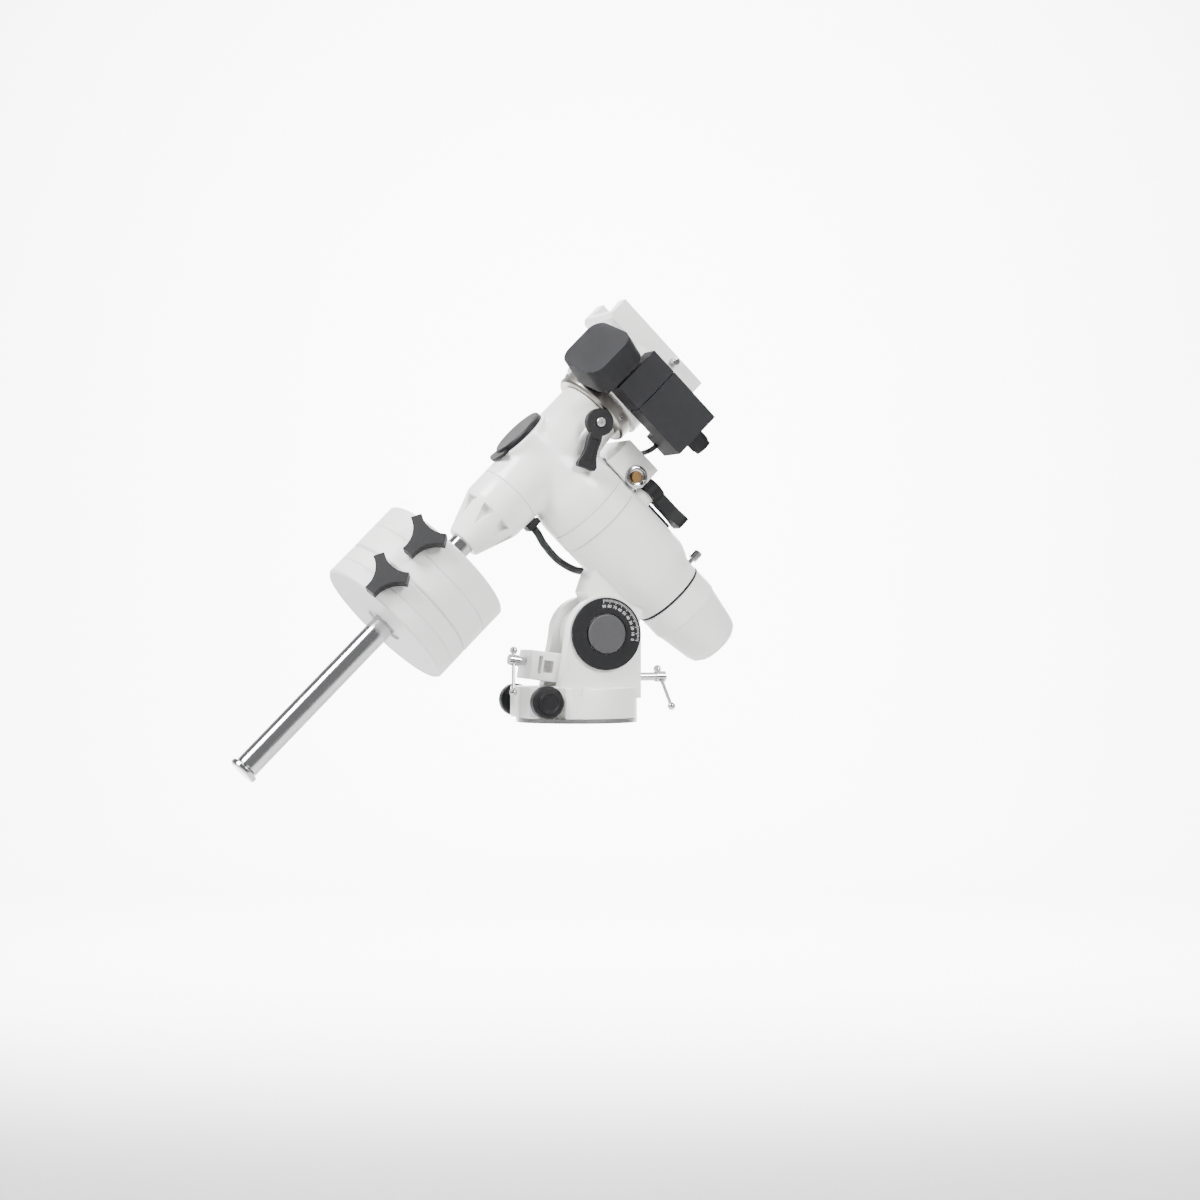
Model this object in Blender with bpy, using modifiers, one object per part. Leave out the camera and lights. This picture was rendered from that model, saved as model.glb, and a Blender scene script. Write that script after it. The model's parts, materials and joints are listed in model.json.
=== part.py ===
"""Head of a German equatorial mount: azimuth base, latitude fork, right ascension and
declination axes with worm drives, saddle, counterweights and the leads between the drives.

Frame: origin on the azimuth axis at the underside of the base, +Z up, polar axis in the XZ
plane and leaning towards -X.  Every size below is in millimetres.
"""
import math

import bmesh
import bpy
from mathutils import Matrix, Vector

MM = 0.001                      # metres in one millimetre
GAP = 0.3                       # clearance between neighbouring pieces
RUN = 0.4                       # clearance round turning pieces
TOOL_START = math.radians(5)    # where a cutter's facets start, clear of the piece's own edges

# Driving dimensions
LATITUDE = 45.0                 # degrees, elevation of the polar axis
AXES_CROSS = (-29.4, 0.0, 217.7)    # where the polar and declination axes meet
ALTITUDE_AXIS = (15.7, 73.3)    # x and z of the latitude hinge

BASE_R = 50.5
BASE_TOP = 29.0
PLATE_T = 3.5
POST_R = 14.0
TRIPOD_BOLT_R = 6.0
LUG_X, LUG_HALF_Y, LUG_TOP = -50.0, 26.5, 30.0
PEG_X, PEG_R = -40.0, 5.0
AZ_SCREW_Z, AZ_SCREW_R = 17.6, 4.0
AZ_KNOB_Y, AZ_KNOB_R, AZ_KNOB_T = 37.0, 13.5, 14.0

EAR_R = 31.3
EAR_INNER, EAR_OUTER = 15.7, 28.0
ALT_BOLT_R = 6.0
DIAL_R, DIAL_BORE_R, DIAL_T = 30.0, 17.0, 3.0
CAP_R, CAP_T = 16.2, 4.6

TONGUE_R, TONGUE_T = 25.5, 30.4
NOSE_HALF, NOSE_REACH = 7.0, 42.0
TIP_CLEAR = 1.6                 # room for the nose to swing between the two bolts
ALT_BOLT_SCREW_R, ALT_HEAD_R, ALT_HEAD_T = 3.5, 4.6, 9.0
FRONT_BOLT_Z, FRONT_HEAD_X = 37.0, 74.5
REAR_HEAD_X, REAR_HEAD_Z, REAR_TILT = -55.0, 51.7, 8.0
BALL_R, HANDLE_R = 3.3, 1.5

RA_R = 37.5                     # right ascension housing
RA_TOP, RA_END = -70.3, -156.3  # along the polar axis
RA_BORE_R = 26.0
RA_SHAFT_R, RA_SHAFT_BORE_R = 20.0, 15.0
RA_COLLAR_R = 38.0
RA_CREASE = -54.3
WHEEL_R, WORM_R = 34.3, 7.0
RA_WORM_Q = WHEEL_R + WORM_R + RUN
RA_WORM_P = -62.0
RA_BLOCK_NEAR, RA_BLOCK_FAR = -25.0, 38.0
CLUTCH_P, CLUTCH_BOSS_Q = -84.0, 44.0
LEVER_HUB_R, LEVER_LENGTH = 11.5, 40.0
RA_LEVER_T, DEC_LEVER_T = 11.0, 7.2

DEC_R = 28.0                    # declination tube
DEC_LOW, DEC_HIGH = -42.0, 58.0
DEC_BORE_R, DEC_SHAFT_R = 22.0, 15.0
DEC_LEVER = (46.6, -4.6)        # where its clutch lever turns, along both axes
DEC_BOSS_Y = 33.6               # how far the clutch boss stands out on the near side
CIRCLE_R, CIRCLE_LOW, CIRCLE_HIGH = 35.0, 58.4, 71.0
CIRCLE_BORE_R = 18.0
DEC_CASE_R, DEC_CASE_LOW, DEC_CASE_HIGH = 38.0, 71.3, 111.6
DEC_WHEEL_R = 35.6
DEC_WORM_Q = 96.0
DEC_WORM_Y = -(DEC_WHEEL_R + WORM_R + RUN)

BOX_Q = (71.6, 116.0)           # declination drive case, along the declination axis
BOX_P = (-67.0, 9.0)            # along the polar axis
BOX_Y = (-62.0, -39.0)
BOX_FOOT_P, BOX_FOOT_Y = -44.0, -25.0
BOX_SPLIT_P = -16.0
WALL = 2.5
MOTOR_Q, MOTOR_Y, MOTOR_P = 83.0, -43.0, 22.8
MOTOR_TILT = 28.0
COVER_W, COVER_H, COVER_D, COVER_ROUND = 48.0, 50.0, 24.0, 13.0
RA_COVER_W, RA_COVER_H, RA_COVER_D, RA_COVER_ROUND = 40.0, 38.0, 28.0, 11.0

SADDLE_LOW, SADDLE_HIGH, SADDLE_HALF_Y = 112.0, 136.0, 35.0
SADDLE_FOOT_R = 38.0            # round foot that turns past the drive case
CHANNEL_BOTTOM, CHANNEL_WIDE, CHANNEL_NARROW = 123.0, 46.0, 37.0

BAR_R, BAR_TOP, BAR_END = 10.0, -79.5, -355.0
WEIGHT_R = 62.0
KNOB_UP = {"upper": 9.0, "lower": 3.0}    # how far above each weight's groove its knob sits
WEIGHTS = {"upper": (-118.0, -163.6), "lower": (-164.0, -193.3)}
KNOB_ANGLE = 57.0               # from the polar direction round to the near side


def remove_everything():
    for old in list(bpy.data.objects):
        bpy.data.objects.remove(old, do_unlink=True)


remove_everything()
PARTS = bpy.data.collections.new("equatorial_mount")
CUTTERS = bpy.data.collections.new("cutters")
for group in (PARTS, CUTTERS):
    bpy.context.scene.collection.children.link(group)


def metres(*values):
    return Vector(values) * MM


def make_material(name, color, rough, metal=0.0):
    material = bpy.data.materials.new(name)
    material.use_nodes = True
    shader = material.node_tree.nodes["Principled BSDF"]
    shader.inputs["Base Color"].default_value = (*color, 1.0)
    shader.inputs["Roughness"].default_value = rough
    shader.inputs["Metallic"].default_value = metal
    return material


WHITE = make_material("white_paint", (0.86, 0.86, 0.84), 0.4)
BLACK = make_material("black_plastic", (0.03, 0.03, 0.032), 0.5)
DARK = make_material("dark_case", (0.055, 0.055, 0.06), 0.6)
GREY = make_material("grey_cap", (0.11, 0.11, 0.115), 0.6)
CHROME = make_material("chrome", (0.75, 0.75, 0.76), 0.12, 1.0)
STEEL = make_material("steel", (0.5, 0.5, 0.5), 0.3, 1.0)
ALUMINIUM = make_material("aluminium", (0.62, 0.6, 0.57), 0.35, 1.0)
BRASS = make_material("brass", (0.72, 0.52, 0.24), 0.3, 1.0)
RUBBER = make_material("cable_rubber", (0.02, 0.02, 0.02), 0.6)


def make_frame(name, parent, location, rotation):
    frame = bpy.data.objects.new(name, None)
    frame.parent = parent
    frame.location = metres(*location)
    frame.rotation_euler = [math.radians(a) for a in rotation]
    PARTS.objects.link(frame)
    return frame


# In the polar frame X is the declination axis and Z the polar axis; in the declination frame
# Z is the declination axis and X points down the polar axis.
POLAR = make_frame("polar_frame", None, AXES_CROSS, (0, LATITUDE - 90, 0))
DEC = make_frame("declination_frame", POLAR, (0, 0, 0), (0, 90, 0))
COVER_FRAME = make_frame("motor_frame", POLAR, (MOTOR_Q, MOTOR_Y, MOTOR_P), (MOTOR_TILT, 0, 0))
NEAR = (90, 0, 0)               # turns local Z to face the near side, -Y
FAR = (-90, 0, 0)
ALONG_X = (0, 90, 0)


def place(name, data, material, frame, at, turn):
    """Put a mesh in the model, or among the cutters when it has no material."""
    piece = bpy.data.objects.new(name, data)
    piece.parent = frame
    piece.location = metres(*at)
    piece.rotation_euler = [math.radians(a) for a in turn]
    if material is None:
        CUTTERS.objects.link(piece)
        piece.hide_render = True
        piece.display_type = "WIRE"
    else:
        PARTS.objects.link(piece)
        data.materials.append(material)
    return piece


def smooth(data):
    data.shade_smooth()
    data.set_sharp_from_angle(angle=math.radians(35))


def turned(name, outline, material=None, frame=None, at=(0, 0, 0), turn=(0, 0, 0), steps=24):
    """A turned piece: (radius, height) points run down the outside and back up any bore."""
    data = bpy.data.meshes.new(name)
    shape = bmesh.new()
    start = 0 if material else TOOL_START
    points = [shape.verts.new(metres(r * math.cos(start), r * math.sin(start), z))
              for r, z in outline]
    for first, second in zip(points, points[1:]):
        shape.edges.new((first, second))
    if outline[0][0] > 0:
        shape.edges.new((points[-1], points[0]))
    shape.to_mesh(data)
    shape.free()
    piece = place(name, data, material, frame, at, turn)
    screw = piece.modifiers.new("turn", "SCREW")
    screw.axis = "Z"
    screw.steps = screw.render_steps = steps
    screw.use_merge_vertices = True
    screw.merge_threshold = 0.00001
    screw.use_smooth_shade = False
    return piece


def rod(name, radius, low, high, material=None, frame=None, at=(0, 0, 0), turn=(0, 0, 0), steps=12):
    outline = [(0, high), (radius, high), (radius, low), (0, low)]
    return turned(name, outline, material, frame, at, turn, steps)


def ring(name, outer, inner, low, high, material=None, frame=None, at=(0, 0, 0), turn=(0, 0, 0),
         steps=24):
    outline = [(outer, high), (outer, low), (inner, low), (inner, high)]
    return turned(name, outline, material, frame, at, turn, steps)


def block(name, low, high, material=None, frame=None, at=(0, 0, 0), turn=(0, 0, 0), round_edge=0):
    """A box between two corners, with its edges rounded when asked."""
    shape = bmesh.new()
    bmesh.ops.create_cube(shape, size=1.0)
    size = [(b - a) * MM for a, b in zip(low, high)]
    middle = [(a + b) / 2 * MM for a, b in zip(low, high)]
    bmesh.ops.scale(shape, vec=size, verts=shape.verts)
    bmesh.ops.translate(shape, vec=middle, verts=shape.verts)
    if round_edge:
        bmesh.ops.bevel(shape, geom=shape.edges[:], offset=round_edge * MM, segments=2,
                        affect="EDGES", profile=0.5)
    data = bpy.data.meshes.new(name)
    shape.to_mesh(data)
    shape.free()
    return place(name, data, material, frame, at, turn)


def arc(centre, radius, start, end, steps):
    """Points along an arc, with angles in degrees."""
    angles = [math.radians(start + (end - start) * i / steps) for i in range(steps + 1)]
    return [(centre[0] + radius * math.cos(a), centre[1] + radius * math.sin(a)) for a in angles]


def plate(name, outline, thickness, material=None, frame=None, at=(0, 0, 0), turn=(0, 0, 0)):
    """A flat outline thickened evenly both ways, turned into a mesh so that it can be cut."""
    curve = bpy.data.curves.new(name, "CURVE")
    curve.dimensions = "2D"
    curve.fill_mode = "BOTH"
    curve.extrude = thickness / 2 * MM
    spline = curve.splines.new("POLY")
    spline.points.add(len(outline) - 1)
    for point, (x, y) in zip(spline.points, outline):
        point.co = (x * MM, y * MM, 0, 1)
    spline.use_cyclic_u = True
    holder = bpy.data.objects.new(name + "_outline", curve)
    CUTTERS.objects.link(holder)
    bpy.context.view_layer.update()
    evaluated = holder.evaluated_get(bpy.context.evaluated_depsgraph_get())
    data = bpy.data.meshes.new_from_object(evaluated)
    data.name = name
    bpy.data.objects.remove(holder)
    shape = bmesh.new()
    shape.from_mesh(data)
    bmesh.ops.remove_doubles(shape, verts=shape.verts, dist=0.00001)
    bmesh.ops.recalc_face_normals(shape, faces=shape.faces)
    shape.to_mesh(data)
    shape.free()
    return place(name, data, material, frame, at, turn)


def combine(target, tool, operation):
    step = target.modifiers.new(operation.lower() + "_" + tool.name, "BOOLEAN")
    step.operation = operation
    step.solver = "EXACT"
    step.object = tool


def join(target, *tools):
    for tool in tools:
        combine(target, tool, "UNION")


def cut(target, *tools):
    for tool in tools:
        combine(target, tool, "DIFFERENCE")


# ---------------------------------------------------------------- azimuth base and fork

def azimuth_plate():
    """Plate that stays on the tripod, with the pivot post and the peg the screws push on."""
    outline = [(POST_R, 26), (POST_R, PLATE_T), (BASE_R, PLATE_T), (BASE_R, 0),
               (TRIPOD_BOLT_R, 0), (TRIPOD_BOLT_R, 26)]
    base = turned("azimuth_plate", outline, STEEL, steps=36)
    join(base, rod("azimuth_peg", PEG_R, 2, 24, at=(PEG_X, 0, 0)))


def ear(name, y):
    """One cheek of the fork, round about the latitude hinge."""
    x, z = ALTITUDE_AXIS
    foot = BASE_TOP - 9
    outline = [(x + EAR_R, foot)] + arc((x, z), EAR_R, 0, 180, 20) + [(-23, 34), (-25.5, foot)]
    return plate(name, outline, EAR_OUTER - EAR_INNER, at=(0, y, 0), turn=NEAR)


def azimuth_fork():
    """White casting that turns on the plate: ring, lug, two cheeks and both bolt bridges."""
    x, z = ALTITUDE_AXIS
    outline = [(0, BASE_TOP), (BASE_R - 1.5, BASE_TOP), (BASE_R - 0.4, BASE_TOP - 0.5),
               (BASE_R, BASE_TOP - 1.5), (BASE_R, PLATE_T + GAP), (POST_R + RUN, PLATE_T + GAP),
               (POST_R + RUN, 26.6), (0, 26.6)]
    fork = turned("azimuth_fork", outline, WHITE, steps=36)
    cheek_y = (EAR_OUTER + EAR_INNER) / 2
    rear_turn = (0, REAR_TILT, 0)
    rear_at = (-31.5, 0, 46.5)
    join(fork,
         block("azimuth_lug", (LUG_X, -LUG_HALF_Y, PLATE_T + GAP), (-20, LUG_HALF_Y, LUG_TOP),
               round_edge=2),
         ear("near_ear", -cheek_y), ear("far_ear", cheek_y),
         block("front_bridge", (40, -17, BASE_TOP - 2), (x + EAR_R - 0.1, 17, 46)),
         block("rear_bridge", (-14, -17.5, -12), (13, 17.5, 12), at=rear_at, turn=rear_turn,
               round_edge=0.8))
    cut(fork,
        block("near_lug_flat", (-60, -60, 0), (-24.5, -LUG_HALF_Y, 40)),
        block("far_lug_flat", (-60, LUG_HALF_Y, 0), (-24.5, 60, 40)),
        block("peg_chamber", (PEG_X - 6.5, -13, 0), (PEG_X + 6.5, 13, 27)),
        rod("azimuth_screw_bore", AZ_SCREW_R + GAP, -30, 30, at=(PEG_X, 0, AZ_SCREW_Z), turn=NEAR),
        rod("latitude_bore", ALT_BOLT_R + GAP, -32, 32, at=(x, 0, z), turn=NEAR),
        rod("front_bolt_bore", ALT_BOLT_SCREW_R + GAP, 35, 52, at=(0, 0, FRONT_BOLT_Z),
            turn=ALONG_X),
        rod("rear_bolt_bore", ALT_BOLT_SCREW_R + GAP, -60, 5, at=(REAR_HEAD_X, 0, REAR_HEAD_Z),
            turn=(0, REAR_TILT - 90, 0)),
        block("rear_window", (-3.5, -20, -5), (5.5, -5, 5), at=rear_at, turn=rear_turn),
        block("rear_slot", (-8, -20, -6.5), (-4.5, -11, 8), at=rear_at, turn=rear_turn),
        block("level_notch", (-19.5, -60, 22.5), (-8, -39, 32)))


def latitude_pieces():
    """Dial, its cap and the hinge bolt."""
    x, z = ALTITUDE_AXIS
    near = (x, -EAR_OUTER - GAP, z)
    ring("latitude_scale", DIAL_R, DIAL_BORE_R, 0, DIAL_T, BLACK, at=near, turn=NEAR, steps=36)
    turned("latitude_scale_cap", [(0, CAP_T), (CAP_R - 0.6, CAP_T), (CAP_R, CAP_T - 0.6),
                                  (CAP_R, 0), (10, 0), (10, 3.2), (0, 3.2)],
           GREY, at=near, turn=NEAR)
    turned("latitude_bolt", [(0, 2.8), (9, 2.8), (9, 0), (ALT_BOLT_R, 0), (ALT_BOLT_R, -66),
                             (0, -66)], STEEL, at=near, turn=NEAR, steps=12)


def azimuth_adjuster(side, facing, sign):
    """Knob and screw that push on the peg from one side."""
    at = (PEG_X, sign * AZ_KNOB_Y, AZ_SCREW_Z)
    tip = PEG_R + GAP - AZ_KNOB_Y
    turned("azimuth_knob_" + side,
           [(0, 13), (6.8, 13), (7.6, AZ_KNOB_T), (8.6, 13.2), (8.6, 11), (12.4, 10.4),
            (AZ_KNOB_R, 9), (AZ_KNOB_R, 1.2), (12.4, 0), (AZ_SCREW_R + GAP, 0),
            (AZ_SCREW_R + GAP, 6.6), (0, 6.6)], BLACK, at=at, turn=facing, steps=16)
    turned("azimuth_screw_" + side,
           [(0, 6), (AZ_SCREW_R, 6), (AZ_SCREW_R, tip + 1.6), (2.6, tip), (0, tip)],
           STEEL, at=at, turn=facing, steps=12)


def ball_bar(name, up, down, at, turn):
    """Cross handle with a ball on each end."""
    top = [(BALL_R * math.cos(a), up + BALL_R * math.sin(a))
           for a in [math.radians(90 - 30 * i) for i in range(5)]]
    bottom = [(r, -down - (z - up)) for r, z in reversed(top)]
    outline = top + [(HANDLE_R, up - BALL_R), (HANDLE_R, BALL_R - down)] + bottom
    outline[0] = (0, outline[0][1])
    outline[-1] = (0, outline[-1][1])
    return turned(name, outline, CHROME, at=at, turn=turn, steps=12)


def altitude_bolt(side, head, tip_length, bolt_turn, handle_turn, up, down):
    """Bolt that pushes on the nose of the polar body, with its cross handle."""
    r, half = ALT_BOLT_SCREW_R, ALT_HEAD_T / 2
    dome = [(r * math.cos(a), r - tip_length - r * math.sin(a))
            for a in [math.radians(22.5 * i) for i in range(4)]]
    bolt = turned("altitude_bolt_" + side,
                  [(0, half), (ALT_HEAD_R - 0.6, half), (ALT_HEAD_R, half - 0.6),
                   (ALT_HEAD_R, -half), (r, -half)] + dome + [(0, -tip_length)],
                  CHROME, at=head, turn=bolt_turn, steps=14)
    cut(bolt, rod("handle_bore_" + side, HANDLE_R + GAP, -8, 8, at=head, turn=handle_turn, steps=12))
    ball_bar("altitude_handle_" + side, up, down, head, handle_turn)


def altitude_bolts():
    x = ALTITUDE_AXIS[0]
    reach = FRONT_HEAD_X - (x + NOSE_HALF + TIP_CLEAR)
    altitude_bolt("front", (FRONT_HEAD_X, 0, FRONT_BOLT_Z), reach, ALONG_X, (-48, 0, 0), 9.4, 35.9)
    rear_reach = (x - NOSE_HALF - TIP_CLEAR - REAR_HEAD_X) / math.cos(math.radians(REAR_TILT))
    altitude_bolt("rear", (REAR_HEAD_X, 0, REAR_HEAD_Z), rear_reach, (0, REAR_TILT - 90, 0),
                  (-22, REAR_TILT, 0), 8.6, 29.0)


# ---------------------------------------------------------------- polar body

def hinge_in_polar_frame():
    """The latitude hinge's place along the declination and polar directions."""
    dx, dz = ALTITUDE_AXIS[0] - AXES_CROSS[0], ALTITUDE_AXIS[1] - AXES_CROSS[2]
    lean = math.radians(LATITUDE)
    return (dx * math.sin(lean) + dz * math.cos(lean), dz * math.sin(lean) - dx * math.cos(lean))


def ra_housing():
    """White tube of the polar axis, with the tongue that hinges in the fork."""
    q, p = hinge_in_polar_frame()
    outline = [(RA_R, RA_TOP), (RA_R, -130), (36.8, -134), (34.5, -140), (31.8, -145),
               (31, -149), (31, RA_END), (RA_BORE_R, RA_END), (RA_BORE_R, RA_TOP)]
    housing = turned("ra_housing", outline, WHITE, POLAR, steps=36)
    tongue = [(-31, -93), (-39, -94), (-46, -97), (-54, -101)]
    tongue += arc((q, p), TONGUE_R, 62, 285, 22) + [(-44, -155), (-36, -150), (-29.5, -147)]
    nose = block("tongue_nose", (-NOSE_HALF, 0.4 - TONGUE_T / 2, -NOSE_REACH),
                 (NOSE_HALF, TONGUE_T / 2 - 0.4, 0), frame=POLAR, at=(q, 0, p),
                 turn=(0, 90 - LATITUDE, 0))
    join(housing, plate("tongue", tongue, TONGUE_T, frame=POLAR, turn=NEAR), nose,
         rod("ra_clutch_boss", 8, 30, CLUTCH_BOSS_Q, frame=POLAR, at=(0, 0, CLUTCH_P),
             turn=ALONG_X))
    cut(housing,
        rod("ra_bore", RA_BORE_R, -170, -60, frame=POLAR, steps=36),
        rod("tongue_bore", ALT_BOLT_R + GAP, -20, 20, frame=POLAR, at=(q, 0, p), turn=NEAR),
        rod("ra_lock_bore", 2.3, 20, 50, frame=POLAR, at=(0, 0, -152), turn=ALONG_X, steps=10),
        rod("ra_clutch_bore", 3.3, 20, 50, frame=POLAR, at=(0, 0, CLUTCH_P), turn=ALONG_X,
            steps=14))


def ra_worm_housing():
    """White band round the worm wheel, with the block that holds the worm."""
    band = ring("ra_worm_housing", RA_COLLAR_R, 35.4, RA_TOP + 0.6, RA_CREASE, WHITE, POLAR,
                steps=36)
    join(band, block("worm_block", (33, RA_BLOCK_NEAR, -68.5), (60, RA_BLOCK_FAR, -35.8),
                     frame=POLAR, round_edge=1.2),
         block("worm_block_foot", (38.4, RA_BLOCK_NEAR, -72), (60, RA_BLOCK_FAR, -60), frame=POLAR,
               round_edge=1.2))
    cut(band,
        rod("casting_clearance", 38.9, RA_CREASE, -20, frame=POLAR, steps=36),
        rod("wheel_clearance", 35.4, -80, -50, frame=POLAR, steps=36),
        rod("ra_worm_bore", WORM_R + 0.7, -60, 60, frame=POLAR, at=(RA_WORM_Q, 0, RA_WORM_P),
            turn=NEAR),
        rod("ra_worm_counterbore", 9.8, 22, 60, frame=POLAR, at=(RA_WORM_Q, 0, RA_WORM_P),
            turn=NEAR))


def ra_inner_pieces():
    ring("ra_bearing_upper", RA_BORE_R - GAP, RA_SHAFT_R + GAP, -84, -72, BRASS, POLAR)
    ring("ra_bearing_lower", RA_BORE_R - GAP, RA_SHAFT_R + GAP, -149, -137, BRASS, POLAR)
    turned("ra_shaft", [(30.6, -46.3), (30.6, -53.7), (RA_SHAFT_R, -53.7), (RA_SHAFT_R, -149),
                        (RA_SHAFT_BORE_R, -149), (RA_SHAFT_BORE_R, -46.3)], STEEL, POLAR)
    ring("ra_worm_wheel", WHEEL_R, RA_SHAFT_R + GAP, -68, -56, BRASS, POLAR, steps=36)
    worm_at = (RA_WORM_Q, 0, RA_WORM_P)
    turned("ra_worm", [(0, 26.5), (4.5, 26.5), (4.5, 15), (WORM_R, 14), (WORM_R, -14), (4.5, -15),
                       (4.5, -40.5), (8.5, -40.5), (8.5, -45), (4.5, -45), (4.5, -47), (0, -47)],
           BRASS, POLAR, worm_at, NEAR, steps=12)
    turned("ra_worm_bush", [(8.2, 27.2), (9.5, 26.6), (9.5, 22.3), (4.8, 22.3), (4.8, 25),
                            (6.6, 25.6), (7.2, 27.2)], CHROME, POLAR, worm_at, NEAR)


def polar_end():
    """Setting circle, ring, cover and finder on the lower end of the polar axis."""
    ring("ra_setting_circle", 31.7, RA_BORE_R, RA_END - 1.5, RA_END - GAP, BLACK, POLAR, steps=36)
    turned("polar_ring", [(31.4, -158.2), (31.4, -178), (RA_SHAFT_BORE_R + GAP, -178),
                          (RA_SHAFT_BORE_R + GAP, -158.2)], WHITE, POLAR, steps=36)
    turned("polar_cover", [(0, -218.5), (12, -217.2), (20.5, -212.5), (22.8, -208), (28, -178.3),
                           (30.5, -178.3), (25.2, -209), (23, -214.5), (18, -218.5),
                           (10, -220.6), (0, -221)], WHITE, POLAR, steps=36)
    turned("polar_finder", [(14.6, -136), (14.6, -176), (11, -180), (11, -206), (8, -206),
                            (8, -136)], BLACK, POLAR)
    turned("ra_lock_screw", [(0, 44.5), (3, 44.5), (3.6, 43.9), (3.6, 36), (2, 36), (2, 28),
                             (0, 28)], CHROME, POLAR, (0, 0, -152), ALONG_X, steps=12)


def ra_drive():
    """Gear tray, motor and motor cover behind the polar housing."""
    tray = block("ra_gearbox", (-2, 38.8, -128), (53, 50, -48), DARK, POLAR, round_edge=1.5)
    cut(tray, block("ra_gearbox_hollow", (0, 40.3, -126), (51, 48, -50), frame=POLAR),
        rod("worm_gear_hole", 10, 30, 42, frame=POLAR, at=(RA_WORM_Q, 0, RA_WORM_P), turn=FAR))
    outline = rounded_rectangle(RA_COVER_W, RA_COVER_H, RA_COVER_ROUND)
    cover_at = (22, 64.3, -107)
    cover = plate("ra_motor_cover", outline, RA_COVER_D, DARK, POLAR, cover_at, FAR)
    hollow = rounded_rectangle(RA_COVER_W - 4, RA_COVER_H - 4, RA_COVER_ROUND - 2)
    cut(cover, plate("ra_motor_hollow", hollow, RA_COVER_D, frame=POLAR,
                     at=(22, 61.8, -107), turn=FAR))
    rod("ra_motor", 14, 50.5, 72, STEEL, POLAR, (22, 0, -107), FAR)


def rounded_rectangle(width, height, radius):
    x, y = width / 2 - radius, height / 2 - radius
    return (arc((x, y), radius, 0, 90, 5) + arc((-x, y), radius, 90, 180, 5)
            + arc((-x, -y), radius, 180, 270, 5) + arc((x, -y), radius, 270, 360, 5))


# ---------------------------------------------------------------- levers

def clutch_lever(prefix, frame, at, turn, thick):
    """Lever with a round hub and a flared end, held by one screw; its arm runs along -Y."""
    half, flare, reach = 5.0, 8.3, LEVER_LENGTH
    outline = arc((0, 0), LEVER_HUB_R, -64, 244, 18)
    outline += [(-half - 0.5, -15), (-half, -24), (-half - 0.8, 10 - reach)]
    outline += [(-flare, 3 - reach), (-flare + 1, -reach), (flare - 1, -reach),
                (flare, 3 - reach), (half + 0.8, 10 - reach),
                (half, -24), (half + 0.5, -15)]
    lever = plate(prefix + "_clutch_lever", outline, thick, BLACK, frame, at, turn)
    cut(lever, rod(prefix + "_lever_bore", 3.3, -10, 10, frame=frame, at=at, turn=turn, steps=12))
    seat = thick / 2 + GAP
    turned(prefix + "_clutch_screw", [(0, seat + 2.2), (3.2, seat + 2.2), (3.8, seat + 1.6),
                                      (3.8, seat), (3, seat), (3, -11), (0, -11)],
           STEEL, frame, at, turn, steps=12)


# ---------------------------------------------------------------- declination body

def dec_housing():
    """White T casting: the polar collar and the declination tube."""
    outline = [(25.4, 28), (26, 27.2), (26.4, 21), (27.2, 12), (28.6, 1), (31, -12), (33.5, -24),
               (36, -31), (37.6, -38), (RA_COLLAR_R, -44), (RA_COLLAR_R, RA_CREASE + 0.3),
               (31, RA_CREASE + 0.3), (31, -46), (RA_SHAFT_BORE_R, -46), (RA_SHAFT_BORE_R, 28)]
    casting = turned("dec_housing", outline, WHITE, POLAR, steps=36)
    join(casting,
         rod("dec_tube", DEC_R, DEC_LOW, DEC_HIGH, frame=DEC, steps=28),
         rod("dec_clutch_boss", 8.5, 18, DEC_BOSS_Y, frame=POLAR, at=(DEC_LEVER[0], 0, DEC_LEVER[1]), turn=NEAR))
    cut(casting,
        rod("dec_bore", DEC_BORE_R, DEC_LOW - 5, DEC_HIGH + 5, frame=DEC, steps=28),
        rod("dec_clutch_bore", 3.3, 10, 40, frame=POLAR, at=(DEC_LEVER[0], 0, DEC_LEVER[1]), turn=NEAR, steps=12))


def dec_nose():
    """Fluted cone that carries the lower end of the declination shaft."""
    outline = [(27.9, DEC_LOW - GAP), (27.9, -46), (27.6, -62), (27, -64), (15.2, -97),
               (14.2, -98), (10.4, -98), (10.4, -80.5), (16.5, -80.5), (16.5, DEC_LOW - GAP)]
    nose = turned("dec_nose", outline, WHITE, DEC, steps=28)
    for i in range(8):
        angle = 22.5 + 45 * i
        a = math.radians(angle)
        outline = [(0, 0), (6, 20), (-6, 20)]
        flute = plate("nose_flute_%d" % i, outline, 8, frame=DEC,
                      at=(23.6 * math.cos(a), 23.6 * math.sin(a), -86.5),
                      turn=(90, 0, angle + 90))
        cut(nose, flute)




def declination_shaft():
    """Solid shaft with a cross hole for the polar sight line and a socket for the bar."""
    outline = [(0, 111.7), (DEC_SHAFT_R, 111.7), (DEC_SHAFT_R, -79), (6.3, -79), (6.3, -60),
               (0, -60)]
    shaft = turned("dec_shaft", outline, STEEL, DEC)
    cut(shaft, rod("sight_hole", 8, -40, 40, frame=POLAR))
    ring("dec_bearing_upper", DEC_BORE_R - GAP, DEC_SHAFT_R + GAP, 44, 56, BRASS, DEC)
    ring("dec_bearing_lower", DEC_BORE_R - GAP, DEC_SHAFT_R + GAP, -40, -28, BRASS, DEC)
    ring("dec_worm_wheel", DEC_WHEEL_R, DEC_SHAFT_R + GAP, 90, 102, BRASS, DEC, steps=36)
    turned("dec_setting_circle", [(33.4, CIRCLE_HIGH), (CIRCLE_R, 69.8), (CIRCLE_R, 60.4),
                                  (33.4, CIRCLE_LOW), (CIRCLE_BORE_R, CIRCLE_LOW),
                                  (CIRCLE_BORE_R, CIRCLE_HIGH)], ALUMINIUM, DEC, steps=36)


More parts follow.
